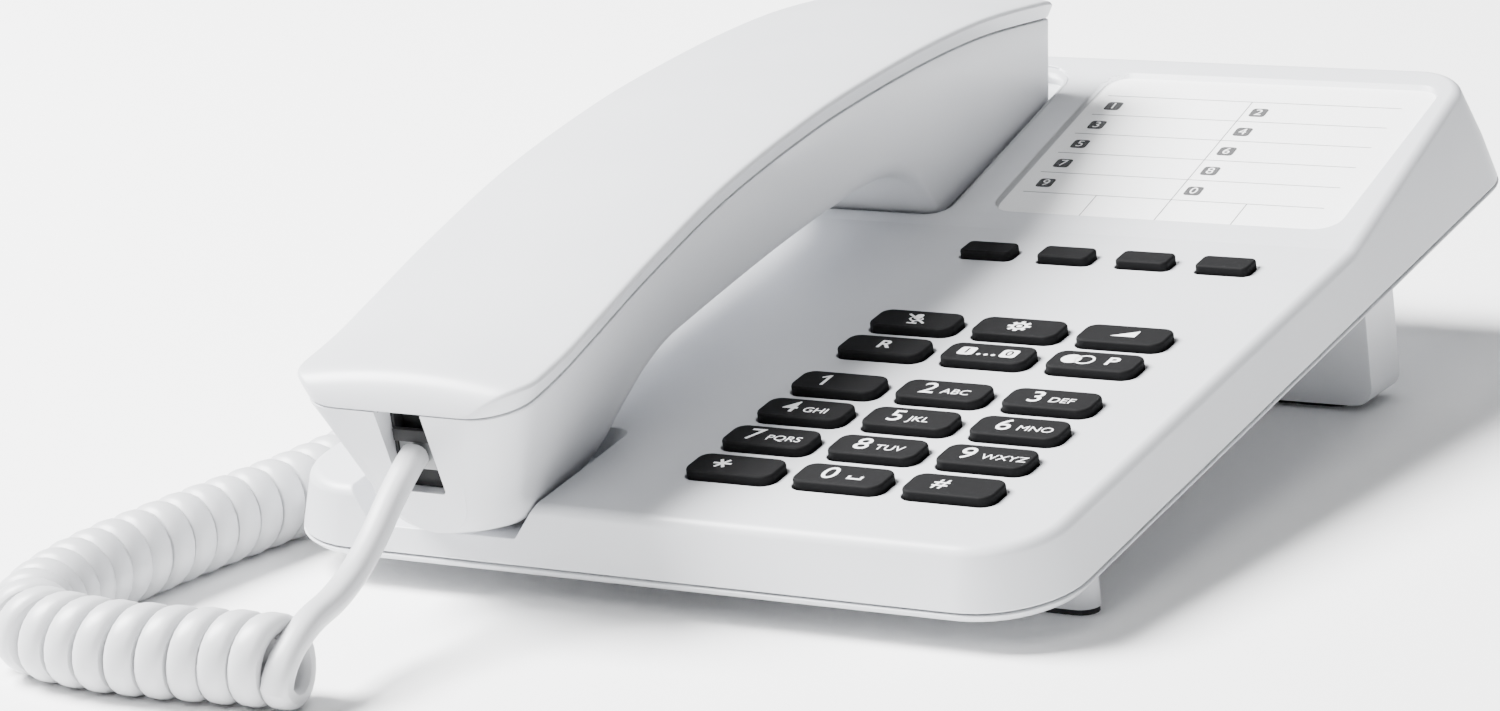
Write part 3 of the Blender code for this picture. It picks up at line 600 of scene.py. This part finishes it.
def pocketCutter():
    # mouthpiece pocket: sloping ends, rounded rear corners, open at the front
    rings = []
    for z in (-pocket["depth"], 4.0):
        part = (z + pocket["depth"]) / pocket["depth"]
        left = pocket["floorX"][0] + (pocket["topX"][0] - pocket["floorX"][0]) * part
        right = pocket["floorX"][1] + (pocket["topX"][1] - pocket["floorX"][1]) * part
        rear, corner = pocket["rear"] + part * 0.8, 3.0
        ring = [(left, -9.0, z), (right, -9.0, z)]
        for i in range(7):
            a = math.radians(90 * i / 6)
            ring.append((right - corner + corner * math.cos(a), rear - corner + corner * math.sin(a), z))
        for i in range(7):
            a = math.radians(90 + 90 * i / 6)
            ring.append((left + corner + corner * math.cos(a), rear - corner + corner * math.sin(a), z))
        rings.append(ring)
    return loft(rings)


def housingBlank():
    # wedge with a rounded top edge, its top split in two along the kink
    edge = shape["round"]
    rings = [baseRing(0.35, -shape["edge"]), baseRing(0.1, -shape["edge"] + 0.1),
             baseRing(0.0, -shape["edge"] + 0.35), baseRing(0.0, -edge)]
    for i in range(1, 7):
        angle = math.pi / 2 * i / 6
        drop = edge * (1 - math.sin(angle))
        rings.append(baseRing(edge * (1 - math.cos(angle)), lambda y, d=drop: deckTop(y) - d))
    bm = loft(rings)
    bmesh.ops.remove_doubles(bm, verts=bm.verts, dist=0.001)
    for face in [f for f in bm.faces if len(f.verts) > 12]:
        ends = [v for v in face.verts if abs(v.co.y - shape["kink"]) < 0.05]
        if len(ends) == 2:
            bmesh.utils.face_split(face, ends[0], ends[1])
    return rough("base_upper_shell", bm)


def keyWells():
    bm = bmesh.new()
    for _, x, y, size, corner in keyLayout():
        outline = centredOutline(size, corner, keys["gap"])
        prism([(x + px, y + py) for px, py in outline], -4.6, 2.5, bm)
    return bm


def housingSlots():
    # openings for the hook tongue, the line socket and the handset cord's socket
    bm = bmesh.new()
    halfX, halfY = hook["halfX"] + hook["gap"], hook["halfY"] + hook["gap"]
    block(hook["x"] - halfX, hook["x"] + halfX, hook["y"] - halfY, hook["y"] + halfY, -7.5, 1.9, bm)
    x, z = lineJack["x"], lineJack["z"]
    block(x - 6.9, x + 6.9, 201.4, 224.0, z - 5.1, z + 5.1, bm)
    y, z = sideJack["y"], sideJack["z"]
    block(-87.0, -61.9, y - 5.1, y + 5.1, z - 3.4, z + 3.4, bm)
    return bm


def alongKink(a, b):
    return abs(a.y - shape["kink"]) < 0.06 and abs(b.y - shape["kink"]) < 0.06


def makeUpperHousing():
    housing = housingBlank()
    carve(housing, pocketCutter())
    carve(housing, labelPrism(earOutline(0.0, 0.0, 6.0), -ear["depth"], 5.0))
    carve(housing, keyWells())
    carve(housing, housingSlots())
    soften(housing, 0.32, 2, 38)
    # shallow rim round the cradle, with a fine groove at its edge
    rim, rear = ear["rim"], ear["rearRim"]
    carve(housing, labelPrism(earOutline(rim, rear, 8.5), -0.3, 5.0))
    carve(housing, ringPrism(earOutline(rim - 0.5, rear - 0.5, 8.0), earOutline(rim, rear, 8.5), -0.95, 1.0))
    lip = roundedOutline(*card["x"], *card["t"], card["corner"], 8)
    carve(housing, labelPrism(lip, -1.3, 4.0))
    finish(housing, whiteShell, "base", weighted=True, creases=alongKink)
    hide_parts("upper_housing")
    print("upper housing")


vents = {"x": 18.0, "y": 96.0, "pitchX": 7.0, "pitchY": 5.0, "columns": 4, "rows": 5, "halfX": 2.4,
         "halfY": 0.9, "corner": 0.85}


def makeLowerHousing():
    edge, depth = shape["edge"], shape["depth"]
    steps = ((2.3, -depth), (1.7, -depth + 0.06), (1.35, -depth + 0.3), (0.25, -edge - 0.72),
             (0.08, -edge - 0.5), (0.06, -edge - 0.38), (0.35, -edge - 0.3), (3.0, -edge - 0.3))
    pan = rough("base_lower_shell", loft([baseRing(inset, z) for inset, z in steps]))
    posts = bmesh.new()
    halfX, halfY = footSpot["half"] + footSpot["radius"], footSpot["radius"]
    for side in (1, -1):
        x, y = shape["x"] + side * footSpot["x"], footSpot["y"]
        outline = roundedOutline(x - halfX, x + halfX, y - halfY, y + halfY, halfY, 8)
        loft([[(px, py, deskLevel(py, 1.05)) for px, py in outline],
              [(px, py, -11.6) for px, py in outline]], posts)
    carve(pan, posts, "UNION")
    holes = bmesh.new()
    for x, y in screwSpots:
        turned(((3.3, -14.0), (3.3, -10.9)), 24, holes, (x, y))
    for row in range(vents["rows"]):
        for column in range(vents["columns"]):
            x, y = vents["x"] + vents["pitchX"] * column, vents["y"] + vents["pitchY"] * row
            outline = roundedOutline(x - vents["halfX"], x + vents["halfX"], y - vents["halfY"],
                                     y + vents["halfY"], vents["corner"], 4)
            prism(outline, -14.0, -11.3, holes)
    carve(pan, holes)
    soften(pan, 0.25, 2, 40)
    finish(pan, whiteShell, "base", weighted=True)
    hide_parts("lower_housing")
    print("lower housing")


deskStand = {"half": 69.95, "y": (149.3, 163.4), "pad": 1.3, "archHalf": 24.0, "archRise": 9.0,
             "archBase": 5.0}


def makeStand():
    top = -shape["depth"] - 0.3
    y0, y1 = deskStand["y"]
    half = deskStand["half"]
    outline = roundedOutline(shape["x"] - half, shape["x"] + half, 0.0, 60.0, 4.0, 6)
    rings = []
    for y in (y0, y1):
        low = deskLevel(y, deskStand["pad"])
        rings.append([(x, y, min(low + h if h < 30 else top, top)) for x, h in outline])
    stand = rough("desk_stand", loft(rings))
    cuts = bmesh.new()
    reach, rise = deskStand["archHalf"], deskStand["archRise"]
    base = deskLevel(y1, 0.0) + deskStand["archBase"]
    arch = [(reach * math.cos(math.pi * i / 20), rise * math.sin(math.pi * i / 20)) for i in range(21)]
    low = base - 8.0
    profile = [(reach, low)] + [(x, base + z) for x, z in arch] + [(-reach, low)]
    loft([[(x + shape["x"], y, z) for x, z in profile] for y in (y0 - 2.0, y1 + 2.0)], cuts)
    carve(stand, cuts)
    soften(stand, 0.9, 3, 40)
    finish(stand, whiteShell, "base", weighted=True)
    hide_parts("rear_stand")
    print("stand")


makeUpperHousing()
makeLowerHousing()
makeStand()


# keys and legends

legend = {"digit": 6.3, "letters": 2.9, "lift": 0.03, "weight": 0.035}


def lettering(text, size, x, y, bold=0.0, align="CENTER"):
    # flat text as a bmesh, centred on its own middle line
    bpy.ops.object.text_add()
    obj = bpy.context.object
    obj.data.body = text
    obj.data.size = size
    obj.data.align_x = align
    obj.data.align_y = "CENTER"
    obj.data.offset = bold
    obj.data.resolution_u = 6
    select(obj)
    bpy.ops.object.convert(target="MESH")
    bm = bmesh.new()
    bm.from_mesh(obj.data)
    bmesh.ops.remove_doubles(bm, verts=bm.verts, dist=0.0005)
    bmesh.ops.translate(bm, verts=bm.verts, vec=(x, y, 0))
    bpy.data.objects.remove(obj, do_unlink=True)
    return bm


def gather(parts):
    whole = bmesh.new()
    for part in parts:
        mesh = bpy.data.meshes.new("part")
        part.to_mesh(mesh)
        part.free()
        whole.from_mesh(mesh)
        bpy.data.meshes.remove(mesh)
    return whole


def flat(outline):
    bm = bmesh.new()
    bm.faces.new([bm.verts.new((x, y, 0)) for x, y in outline])
    return bm


def ringShape(inner, outer):
    bm = bmesh.new()
    a = [bm.verts.new((x, y, 0)) for x, y in inner]
    b = [bm.verts.new((x, y, 0)) for x, y in outer]
    for i in range(len(a)):
        j = (i + 1) % len(a)
        bm.faces.new((a[i], b[i], b[j], a[j]))
    return bm


def circle(x, y, radius, sides=24):
    return [(x + radius * math.cos(math.tau * i / sides), y + radius * math.sin(math.tau * i / sides))
            for i in range(sides)]


def stroke(x0, y0, x1, y1, width):
    dx, dy = x1 - x0, y1 - y0
    scale = width / 2 / math.hypot(dx, dy)
    nx, ny = -dy * scale, dx * scale
    return flat([(x0 + nx, y0 + ny), (x0 - nx, y0 - ny), (x1 - nx, y1 - ny), (x1 + nx, y1 + ny)])


def dialLegend(name):
    letters = {"2": "ABC", "3": "DEF", "4": "GHI", "5": "JKL", "6": "MNO", "7": "PQRS", "8": "TUV",
               "9": "WXYZ"}
    size, small, weight = legend["digit"], legend["letters"], legend["weight"]
    mark = name.split("_")[1]
    if mark in letters:
        reach = {"PQRS": 0.5, "WXYZ": 0.8}.get(letters[mark], 0.0)
        return [lettering(mark, size, -2.9 - reach, 0.0, weight),
                lettering(letters[mark], small, -0.2 - reach * 0.8, -0.7, 0.0, "LEFT")]
    if mark == "1":
        return [stroke(-2.6, -2.2, -2.6, 2.2, 0.62), stroke(-2.5, 2.0, -3.9, 1.0, 0.55)]
    if mark == "0":
        tray = [stroke(1.3, -1.3, 4.1, -1.3, 0.5), stroke(1.5, -1.5, 1.5, -0.2, 0.5),
                stroke(3.9, -1.5, 3.9, -0.2, 0.5)]
        return [lettering("0", size, -2.5, 0.0, weight)] + tray
    if mark == "star":
        arms = [(1.75 * math.cos(math.radians(d)), 1.75 * math.sin(math.radians(d))) for d in (0, 60, 120)]
        return [stroke(-2.6 - dx, -dy, -2.6 + dx, dy, 0.55) for dx, dy in arms]
    return [lettering("#", 4.9, -2.3, 0.0, weight)]


def functionLegend(name):
    mark = name.split("_")[1]
    if mark == "recall":
        return [lettering("R", 4.6, 0.0, 0.0, 0.1)]
    if mark == "memory":
        tiles = [flat(roundedOutline(x - 1.6, x + 1.6, -1.7, 1.7, 0.7, 4)) for x in (-4.2, 4.2)]
        return tiles + [flat(circle(x, -1.1, 0.4, 14)) for x in (-1.45, 0.0, 1.45)]
    if mark == "redial":
        return [flat(circle(-4.5, 0.0, 1.9)), ringShape(circle(-1.9, 0.0, 1.5), circle(-1.9, 0.0, 1.95)),
                lettering("P", 4.6, 3.4, 0.0, 0.1)]
    if mark == "volume":
        return [flat([(-2.3, -1.2), (2.5, -1.2), (2.5, 1.6)])]
    if mark == "settings":
        parts = [ringShape(circle(0, 0, 1.0), circle(0, 0, 1.6)), flat(circle(0, 0, 0.55, 16))]
        for k in range(8):
            a = math.tau * k / 8
            parts.append(stroke(1.5 * math.cos(a), 1.5 * math.sin(a), 2.25 * math.cos(a),
                                2.25 * math.sin(a), 0.75))
        return parts
    return [flat(roundedOutline(-0.75, 0.75, -0.2, 2.2, 0.7, 5)),
            ringShape(roundedOutline(-1.1, 1.1, -0.85, 1.0, 1.05, 5),
                      roundedOutline(-1.45, 1.45, -1.2, 1.0, 1.4, 5)),
            stroke(0, -1.1, 0, -2.1, 0.45), stroke(-1.0, -2.1, 1.0, -2.1, 0.45),
            stroke(-2.3, 2.0, 2.3, -1.9, 0.5)]


def layPrint(name, parts, material, body, place):
    # flat marks become one thin piece facing up
    bm = gather(parts)
    for vert in bm.verts:
        vert.co = place(vert.co.x, vert.co.y)
    bm.normal_update()
    for face in bm.faces:
        if face.normal.z < 0:
            face.normal_flip()
    mesh = bpy.data.meshes.new(name)
    bm.to_mesh(mesh)
    bm.free()
    obj = bpy.data.objects.new(name, mesh)
    bpy.context.scene.collection.objects.link(obj)
    finish(obj, material, body)


keyCap = {"height": 1.6, "edge": 0.42, "skirt": -3.0}


def makeKeyCap(name, x, y, size, corner):
    height, edge = keyCap["height"], keyCap["edge"]
    rings = [[(px, py, z) for px, py in centredOutline(size, corner, 0.0)]
             for z in (keyCap["skirt"], height - edge)]
    for i in range(1, 5):
        a = math.pi / 2 * i / 4
        grow = -edge * (1 - math.cos(a)) - 0.03
        z = height - edge * (1 - math.sin(a))
        rings.append([(px, py, z) for px, py in centredOutline(size, corner, grow)])
    bm = loft(rings)
    bmesh.ops.translate(bm, verts=bm.verts, vec=(x, y, 0))
    cap = rough(name + "_cap", bm)
    finish(cap, keyRubber, name, weighted=True)
    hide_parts(name)


def makeKeyPrint(name, x, y):
    dial = name in ("key_star", "key_hash") or name[4:].isdigit()
    parts = dialLegend(name) if dial else functionLegend(name)
    level = keyCap["height"] + legend["lift"]
    layPrint(name + "_print", parts, legendInk, name, lambda px, py: (x + px, y + py, level))
    if name == "key_memory":
        digits = [lettering(text, 3.0, px, 0.0, 0.05) for px, text in ((-4.2, "1"), (4.2, "0"))]
        level += legend["lift"]
        layPrint("memory_digits", digits, keyRubber, name, lambda px, py: (x + px, y + py, level))


def makeKeys():
    for name, x, y, size, corner in keyLayout():
        makeKeyCap(name, x, y, size, corner)
        if "direct" not in name:
            makeKeyPrint(name, x, y)
    print("keys")


makeKeys()


# index card

cardPrint = {"x": 27.6, "half": 31.65, "t": 17.1, "pitch": 8.3, "rows": 5, "line": 0.2,
             "badge": (1.7, 1.75, 0.7), "badgeAt": (3.1, 3.9), "digit": 3.4}


def cardOutline(grow):
    (x0, x1), (t0, t1) = card["x"], card["t"]
    return roundedOutline(x0 - grow, x1 + grow, t0 - grow, t1 + grow, card["corner"] + grow, 8)


def printCard():
    spec = cardPrint
    middle, bottom, pitch, rows = spec["x"], spec["t"], spec["pitch"], spec["rows"]
    left, right, width = middle - spec["half"], middle + spec["half"], spec["line"]
    lines = [stroke(left, bottom + pitch * row, right, bottom + pitch * row, width)
             for row in range(rows + 1)]
    lines.append(stroke(middle, bottom - pitch, middle, bottom + pitch * rows, width))
    for share in (0.25, 0.75):
        x = left + (right - left) * share
        lines.append(stroke(x, bottom - pitch, x, bottom, width))

    badges, digits = [], []
    halfX, halfT, corner = spec["badge"]
    for row in range(rows):
        for column, start in enumerate((left, middle)):
            x, t = start + spec["badgeAt"][0], bottom + pitch * (rows - 1 - row) + spec["badgeAt"][1]
            badges.append(flat(roundedOutline(x - halfX, x + halfX, t - halfT, t + halfT, corner, 4)))
            digits.append(lettering(str((2 * row + column + 1) % 10), spec["digit"], x, t))
    for name, parts, material, height in (("card_lines", lines, cardInk, -1.02),
                                          ("card_badges", badges, badgeInk, -1.01),
                                          ("card_digits", digits, legendInk, -0.99)):
        layPrint(name, parts, material, "base", lambda x, t: labelPoint(x, t, height))


def makeCard():
    sheet = rough("name_card", labelPrism(cardOutline(-0.5), -1.25, -1.05))
    finish(sheet, cardPaper, "base")
    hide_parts("index_card")
    printCard()
    window = rough("card_cover", labelPrism(cardOutline(-0.3), -0.75, -0.3))
    finish(window, clearSheet, "base")
    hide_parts("card_window")
    print("card")


makeCard()


# handset

handset = {
    "x": -36.0, "front": -15.4, "rear": 195.4, "endRound": 6.0, "half": 22.1, "slant": 0.25,
    "frontRound": 9.0, "rearRound": 3.0, "spacing": 2.2, "roundSteps": 12,
    "parting": ((-15.4, 22.0), (1.3, 23.4), (13.0, 25.4), (32.4, 29.0), (61.0, 32.9), (93.6, 34.3),
                (118.0, 33.7), (143.6, 32.0), (166.0, 29.3), (195.4, 23.6)),
    "under": ((-15.4, -2.4), (-9.4, -3.4), (1.0, -5.4), (22.0, -5.4), (28.0, -3.6), (33.3, 1.4),
              (39.0, 6.2), (46.6, 9.8), (58.0, 11.4), (75.0, 12.8), (91.0, 13.6), (108.4, 13.9),
              (124.5, 13.6), (131.0, 12.2), (136.5, 9.0), (140.6, 4.6), (143.4, 1.2), (145.7, -1.4),
              (147.5, -1.4), (196.0, 5.25)),
    "lean": ((-15.4, 0.4), (30.0, 0.4), (70.0, 0.28), (120.0, 0.16), (145.0, 0.11), (194.0, 0.11)),
    "edge": ((-15.4, 8.0), (24.0, 8.0), (60.0, 5.5), (120.0, 5.5), (142.0, 2.4), (194.0, 2.2)),
}


def stations(spec):
    # places along the handset, with how far each end's rounding draws the sides in
    frontRound, rearRound, steps = spec["frontRound"], spec["rearRound"], spec["roundSteps"]
    spots = []
    for i in range(steps + 1):
        a = math.pi / 2 * i / steps
        spots.append((spec["front"] + frontRound * (1 - math.cos(a)), frontRound * (1 - math.sin(a))))
    start, stop = spots[-1][0], spec["rear"] - rearRound
    count = round((stop - start) / spec["spacing"])
    for i in range(1, count):
        spots.append((start + (stop - start) * i / count, 0.0))
    for i in range(steps + 1):
        a = math.pi / 2 * (1 - i / steps)
        spots.append((spec["rear"] - rearRound * (1 - math.cos(a)), rearRound * (1 - math.sin(a))))
    return spots


def slide(spec, y, z, zp):
    # the front face leans back going down
    fade = max(0.0, min(1.0, (14.0 - y) / (14.0 - spec["front"])))
    return y + spec["slant"] * (zp - z) * fade * fade * (3 - 2 * fade)


def bodySection(spec, y, inset):
    zp, zb = along(spec["parting"], y), along(spec["under"], y)
    lean, radius = along(spec["lean"], y), along(spec["edge"], y)
    half = spec["half"] - inset
    low = zb + radius
    sideLow = max(half - lean * (zp - low), radius + 0.2)
    points = [(half - 0.55, zp + 0.02), (half - 0.5, zp - 0.02), (half - 0.1, zp - 0.1), (half, zp - 0.45)]
    for i in range(1, 5):
        z = zp - 0.45 + (low - zp + 0.45) * i / 5
        points.append((half - (half - sideLow) * (zp - z) / (zp - low), z))
    for i in range(9):
        a = math.pi / 2 * i / 8
        points.append((sideLow - radius * (1 - math.cos(a)), low - radius * math.sin(a)))
    points.append(((sideLow - radius) * 0.5, zb))
    mirrored = [(-x, z) for x, z in reversed(points)]
    return [(spec["x"] + x, slide(spec, y, z, zp), z) for x, z in points + mirrored]


def capSection(spec, y, inset):
    # the top rolls over at both ends and keeps a crisp leaning band along the sides
    zp = along(spec["parting"], y)
    half = spec["half"] - inset
    reach = min(y - spec["front"], spec["rear"] - y, spec["endRound"]) / spec["endRound"]
    rise = max((1 - (1 - reach) ** 2.6) ** 0.55, 0.03)

    def crown(x):
        return 1.85 * (1 - (x / (spec["half"] + 1.2)) ** 2)

    points = [(half - 0.6, zp + 0.3), (half - 0.12, zp + 0.36),
              (half + 0.06 * rise, zp + 0.36 + 0.26 * rise), (half + 0.85 * rise, zp + 0.36 + 1.7 * rise)]
    shoulder = half + 1.65 * rise
    for i in range(7):
        a = math.pi / 2 * i / 6
        x = shoulder - 0.9 * rise * (1 - math.cos(a))
        points.append((x, zp + 0.36 + (3.15 + 0.75 * math.sin(a) + crown(x)) * rise))
    wide = points[-1][0]
    for share in (0.92, 0.8, 0.66, 0.5, 0.34, 0.17, 0.0):
        x = wide * share
        points.append((x, zp + 0.36 + (3.9 + crown(x)) * rise))
    mirrored = [(-x, z) for x, z in reversed(points) if abs(x) > 0.001]
    return [(spec["x"] + x, y, z) for x, z in points + mirrored]


mouthSlot = {"half": 4.65, "y": (-26.0, -2.0), "z": (6.0, 44.0), "corner": 0.8}
receiverHoles = {"y": 170.0, "radius": 1.1, "rings": (5.4, 10.2), "z": (-6.0, 4.6)}
microphoneSlots = {"offsets": (-3.0, 0.0, 3.0), "half": 0.6, "y": (9.0, 15.0), "corner": 0.55}


def handsetCuts():
    bm = bmesh.new()
    middle = handset["x"]
    outline = roundedOutline(middle - mouthSlot["half"], middle + mouthSlot["half"], *mouthSlot["z"],
                             mouthSlot["corner"], 3)
    loft([[(x, y, z) for x, z in outline] for y in mouthSlot["y"]], bm)
    inner, outer = receiverHoles["rings"]
    spots = [(0.0, 0)] + [(inner, k) for k in range(1, 7)] + [(outer, k + 0.5) for k in range(6)]
    for reach, turn in spots:
        a = math.tau * turn / 6
        centre = (middle + reach * math.cos(a), receiverHoles["y"] + reach * math.sin(a))
        turned([(receiverHoles["radius"], z) for z in receiverHoles["z"]], 16, bm, centre)
    for offset in microphoneSlots["offsets"]:
        x = middle + offset
        prism(roundedOutline(x - microphoneSlots["half"], x + microphoneSlots["half"],
                             *microphoneSlots["y"], microphoneSlots["corner"], 4), -9.0, -3.4, bm)
    return bm


def makeHandsetShells():
    for name, section, node in (("handset_lower_shell", bodySection, "handset_body"),
                                ("handset_upper_shell", capSection, "handset_cap")):
        shell = rough(name, loft([section(handset, y, inset) for y, inset in stations(handset)]))
        if section is bodySection:
            carve(shell, handsetCuts())
        finish(shell, whiteShell, "handset", smooth=32)
        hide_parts(node)


def makeHandsetSeamShadow():
    # painted shade: a dark band inside the parting groove of the two shells, standing in for the shadow down
    # in the gap
    spec = handset
    inner = dict(spec, half=spec["half"] - 0.9, front=spec["front"] + 0.9, rear=spec["rear"] - 0.9,
                 frontRound=8.1, rearRound=2.2, spacing=6.0, roundSteps=6)
    rings = []
    for y, inset in stations(inner):
        zp = along(spec["parting"], y)
        half = inner["half"] - inset
        rings.append([(spec["x"] + sx * half, slide(spec, y, z, zp), z)
                      for sx, z in ((1, zp - 0.6), (1, zp + 1.0), (-1, zp + 1.0), (-1, zp - 0.6))])
    seam = rough("handset_seam_shadow", loft(rings))
    left, right = spec["x"] - mouthSlot["half"], spec["x"] + mouthSlot["half"]
    carve(seam, block(left, right, *mouthSlot["y"], 5.0, 44.0))
    finish(seam, seamShadow, "handset")


makeHandsetShells()
makeHandsetSeamShadow()
print("handset")


# sockets, plugs and small parts

# boxes across the slot: two cheeks, head, sill, back and latch bar
socketBoxes = ((-4.6, -3.9, -11.0, -2.1, 6.1, 21.9), (3.9, 4.6, -11.0, -2.1, 6.1, 21.9),
               (-3.85, 3.85, -8.5, -2.1, 16.0, 21.9), (-3.85, 3.85, -9.0, -2.1, 6.1, 9.4),
               (-3.85, 3.85, -3.0, -2.1, 9.45, 15.95), (-3.85, 3.85, -12.2, -11.0, 15.6, 17.8))
plugBoxes = ((-3.7, 3.7, -11.0, -3.2, 10.2, 15.4), (-1.6, 1.6, -11.9, -8.8, 15.45, 15.9))


def handsetBoxes(name, boxes, edge):
    bm = bmesh.new()
    for x0, x1, y0, y1, z0, z1 in boxes:
        block(handset["x"] + x0, handset["x"] + x1, y0, y1, z0, z1, bm)
    obj = rough(name, bm)
    soften(obj, edge, 2, 40)
    return obj


def makeHandsetSocket():
    socket = handsetBoxes("handset_socket_frame", socketBoxes, 0.12)
    finish(socket, darkPlastic, "handset")
    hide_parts("handset_socket")
    plug = handsetBoxes("handset_plug_body", plugBoxes, 0.25)
    finish(plug, plugPlastic, "handset")
    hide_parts("cord_plug_handset")


nodeMaterials = {
    "key_mat": keyRubber, "circuit_board": boardGreen, "ringer": zincSteel, "line_jack": darkPlastic,
    "handset_jack": darkPlastic, "hook_switch": darkPlastic, "hook_spring": zincSteel,
    "cord_plug_base": plugPlastic, "foot_pad_left": padRubber, "foot_pad_right": padRubber,
    "stand_pad_left": padRubber, "stand_pad_right": padRubber, "microphone": darkPlastic,
    "handset_weight": zincSteel, "receiver_capsule": darkPlastic, "receiver_gasket": foamGrey}


def dressNodes():
    for name, material in nodeMaterials.items():
        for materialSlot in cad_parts[name].material_slots:
            materialSlot.material = material


screwHead = {"profile": ((0.8, -11.9), (2.3, -11.9), (2.7, -11.6), (2.7, -10.95)), "cross": (1.6, 0.3),
             "crossZ": (-12.4, -11.3)}


def makeScrews():
    reach, half = screwHead["cross"]
    for index, (x, y) in enumerate(screwSpots):
        screw = rough(f"screw_head_{index + 1}", turned(screwHead["profile"], 32, None, (x, y)))
        for halfX, halfY in ((reach, half), (half, reach)):
            carve(screw, block(x - halfX, x + halfX, y - halfY, y + halfY, *screwHead["crossZ"]))
        finish(screw, zincSteel, "base")
        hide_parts(f"base_screw_{index + 1}")


def makeHookTongue():
    top = deckTop(hook["y"]) - ear["depth"] - 0.3
    outline = roundedOutline(hook["x"] - hook["halfX"], hook["x"] + hook["halfX"],
                             hook["y"] - hook["halfY"], hook["y"] + hook["halfY"], 0.8, 4)
    tongue = rough("hook_tongue", prism(outline, -5.6, top))
    soften(tongue, 0.5, 3, 50)
    finish(tongue, whiteShell, "hook", weighted=True)
    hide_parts("hook_plunger")


lineContacts = {"count": 6, "first": -2.55, "pitch": 1.02, "half": 0.2, "y": (206.0, 213.0),
                "z": (2.6, 2.95)}


def makeLineContacts():
    spec = lineContacts
    z0, z1 = (lineJack["z"] + z for z in spec["z"])
    bm = bmesh.new()
    for k in range(spec["count"]):
        x = lineJack["x"] + spec["first"] + spec["pitch"] * k
        block(x - spec["half"], x + spec["half"], *spec["y"], z0, z1, bm)
    finish(rough("line_contacts", bm), contactGold, "base")


makeHandsetSocket()
dressNodes()
makeScrews()
makeHookTongue()
makeLineContacts()
print("small parts")


# floor and light

studio = {
    "sky": (0.94, 0.965, 1.0, 1.0), "skyStrength": 0.26, "floor": 0.96,
    "lights": {
        "left": {"at": (-1.2, -0.3, 1.5), "aim": (0, 0.02, 0), "size": 1.0, "power": 260},
        "front": {"at": (0.25, -1.35, 1.45), "aim": (0, 0, 0.03), "size": 0.9, "power": 14},
    },
}


def makeFloor():
    bpy.ops.mesh.primitive_plane_add(size=12, location=(0, 2, 0))
    floor = bpy.context.object
    floor.name = "floor"
    graph = Graph("floor_white")
    shade = graph.noise(400.0, 2.0) * 0.01 + studio["floor"]
    colour = graph.add("CombineColor", {}, {0: shade, 1: shade, 2: shade})
    graph.surface({"Base Color": colour, "Roughness": 0.9, "Specular IOR Level": 0.1})
    floor.data.materials.append(graph.material)


def makeLights():
    world = bpy.data.worlds.new("studio")
    bpy.context.scene.world = world
    world.use_nodes = True
    background = world.node_tree.nodes["Background"]
    background.inputs["Color"].default_value = studio["sky"]
    background.inputs["Strength"].default_value = studio["skyStrength"]
    for name, spec in studio["lights"].items():
        data = bpy.data.lights.new("light_" + name, "AREA")
        data.size = spec["size"]
        data.energy = spec["power"]
        lamp = bpy.data.objects.new("light_" + name, data)
        lamp.location = spec["at"]
        lamp.rotation_euler = (Vector(spec["aim"]) - lamp.location).to_track_quat("-Z", "Y").to_euler()
        bpy.context.scene.collection.objects.link(lamp)


makeFloor()
makeLights()
print("studio")
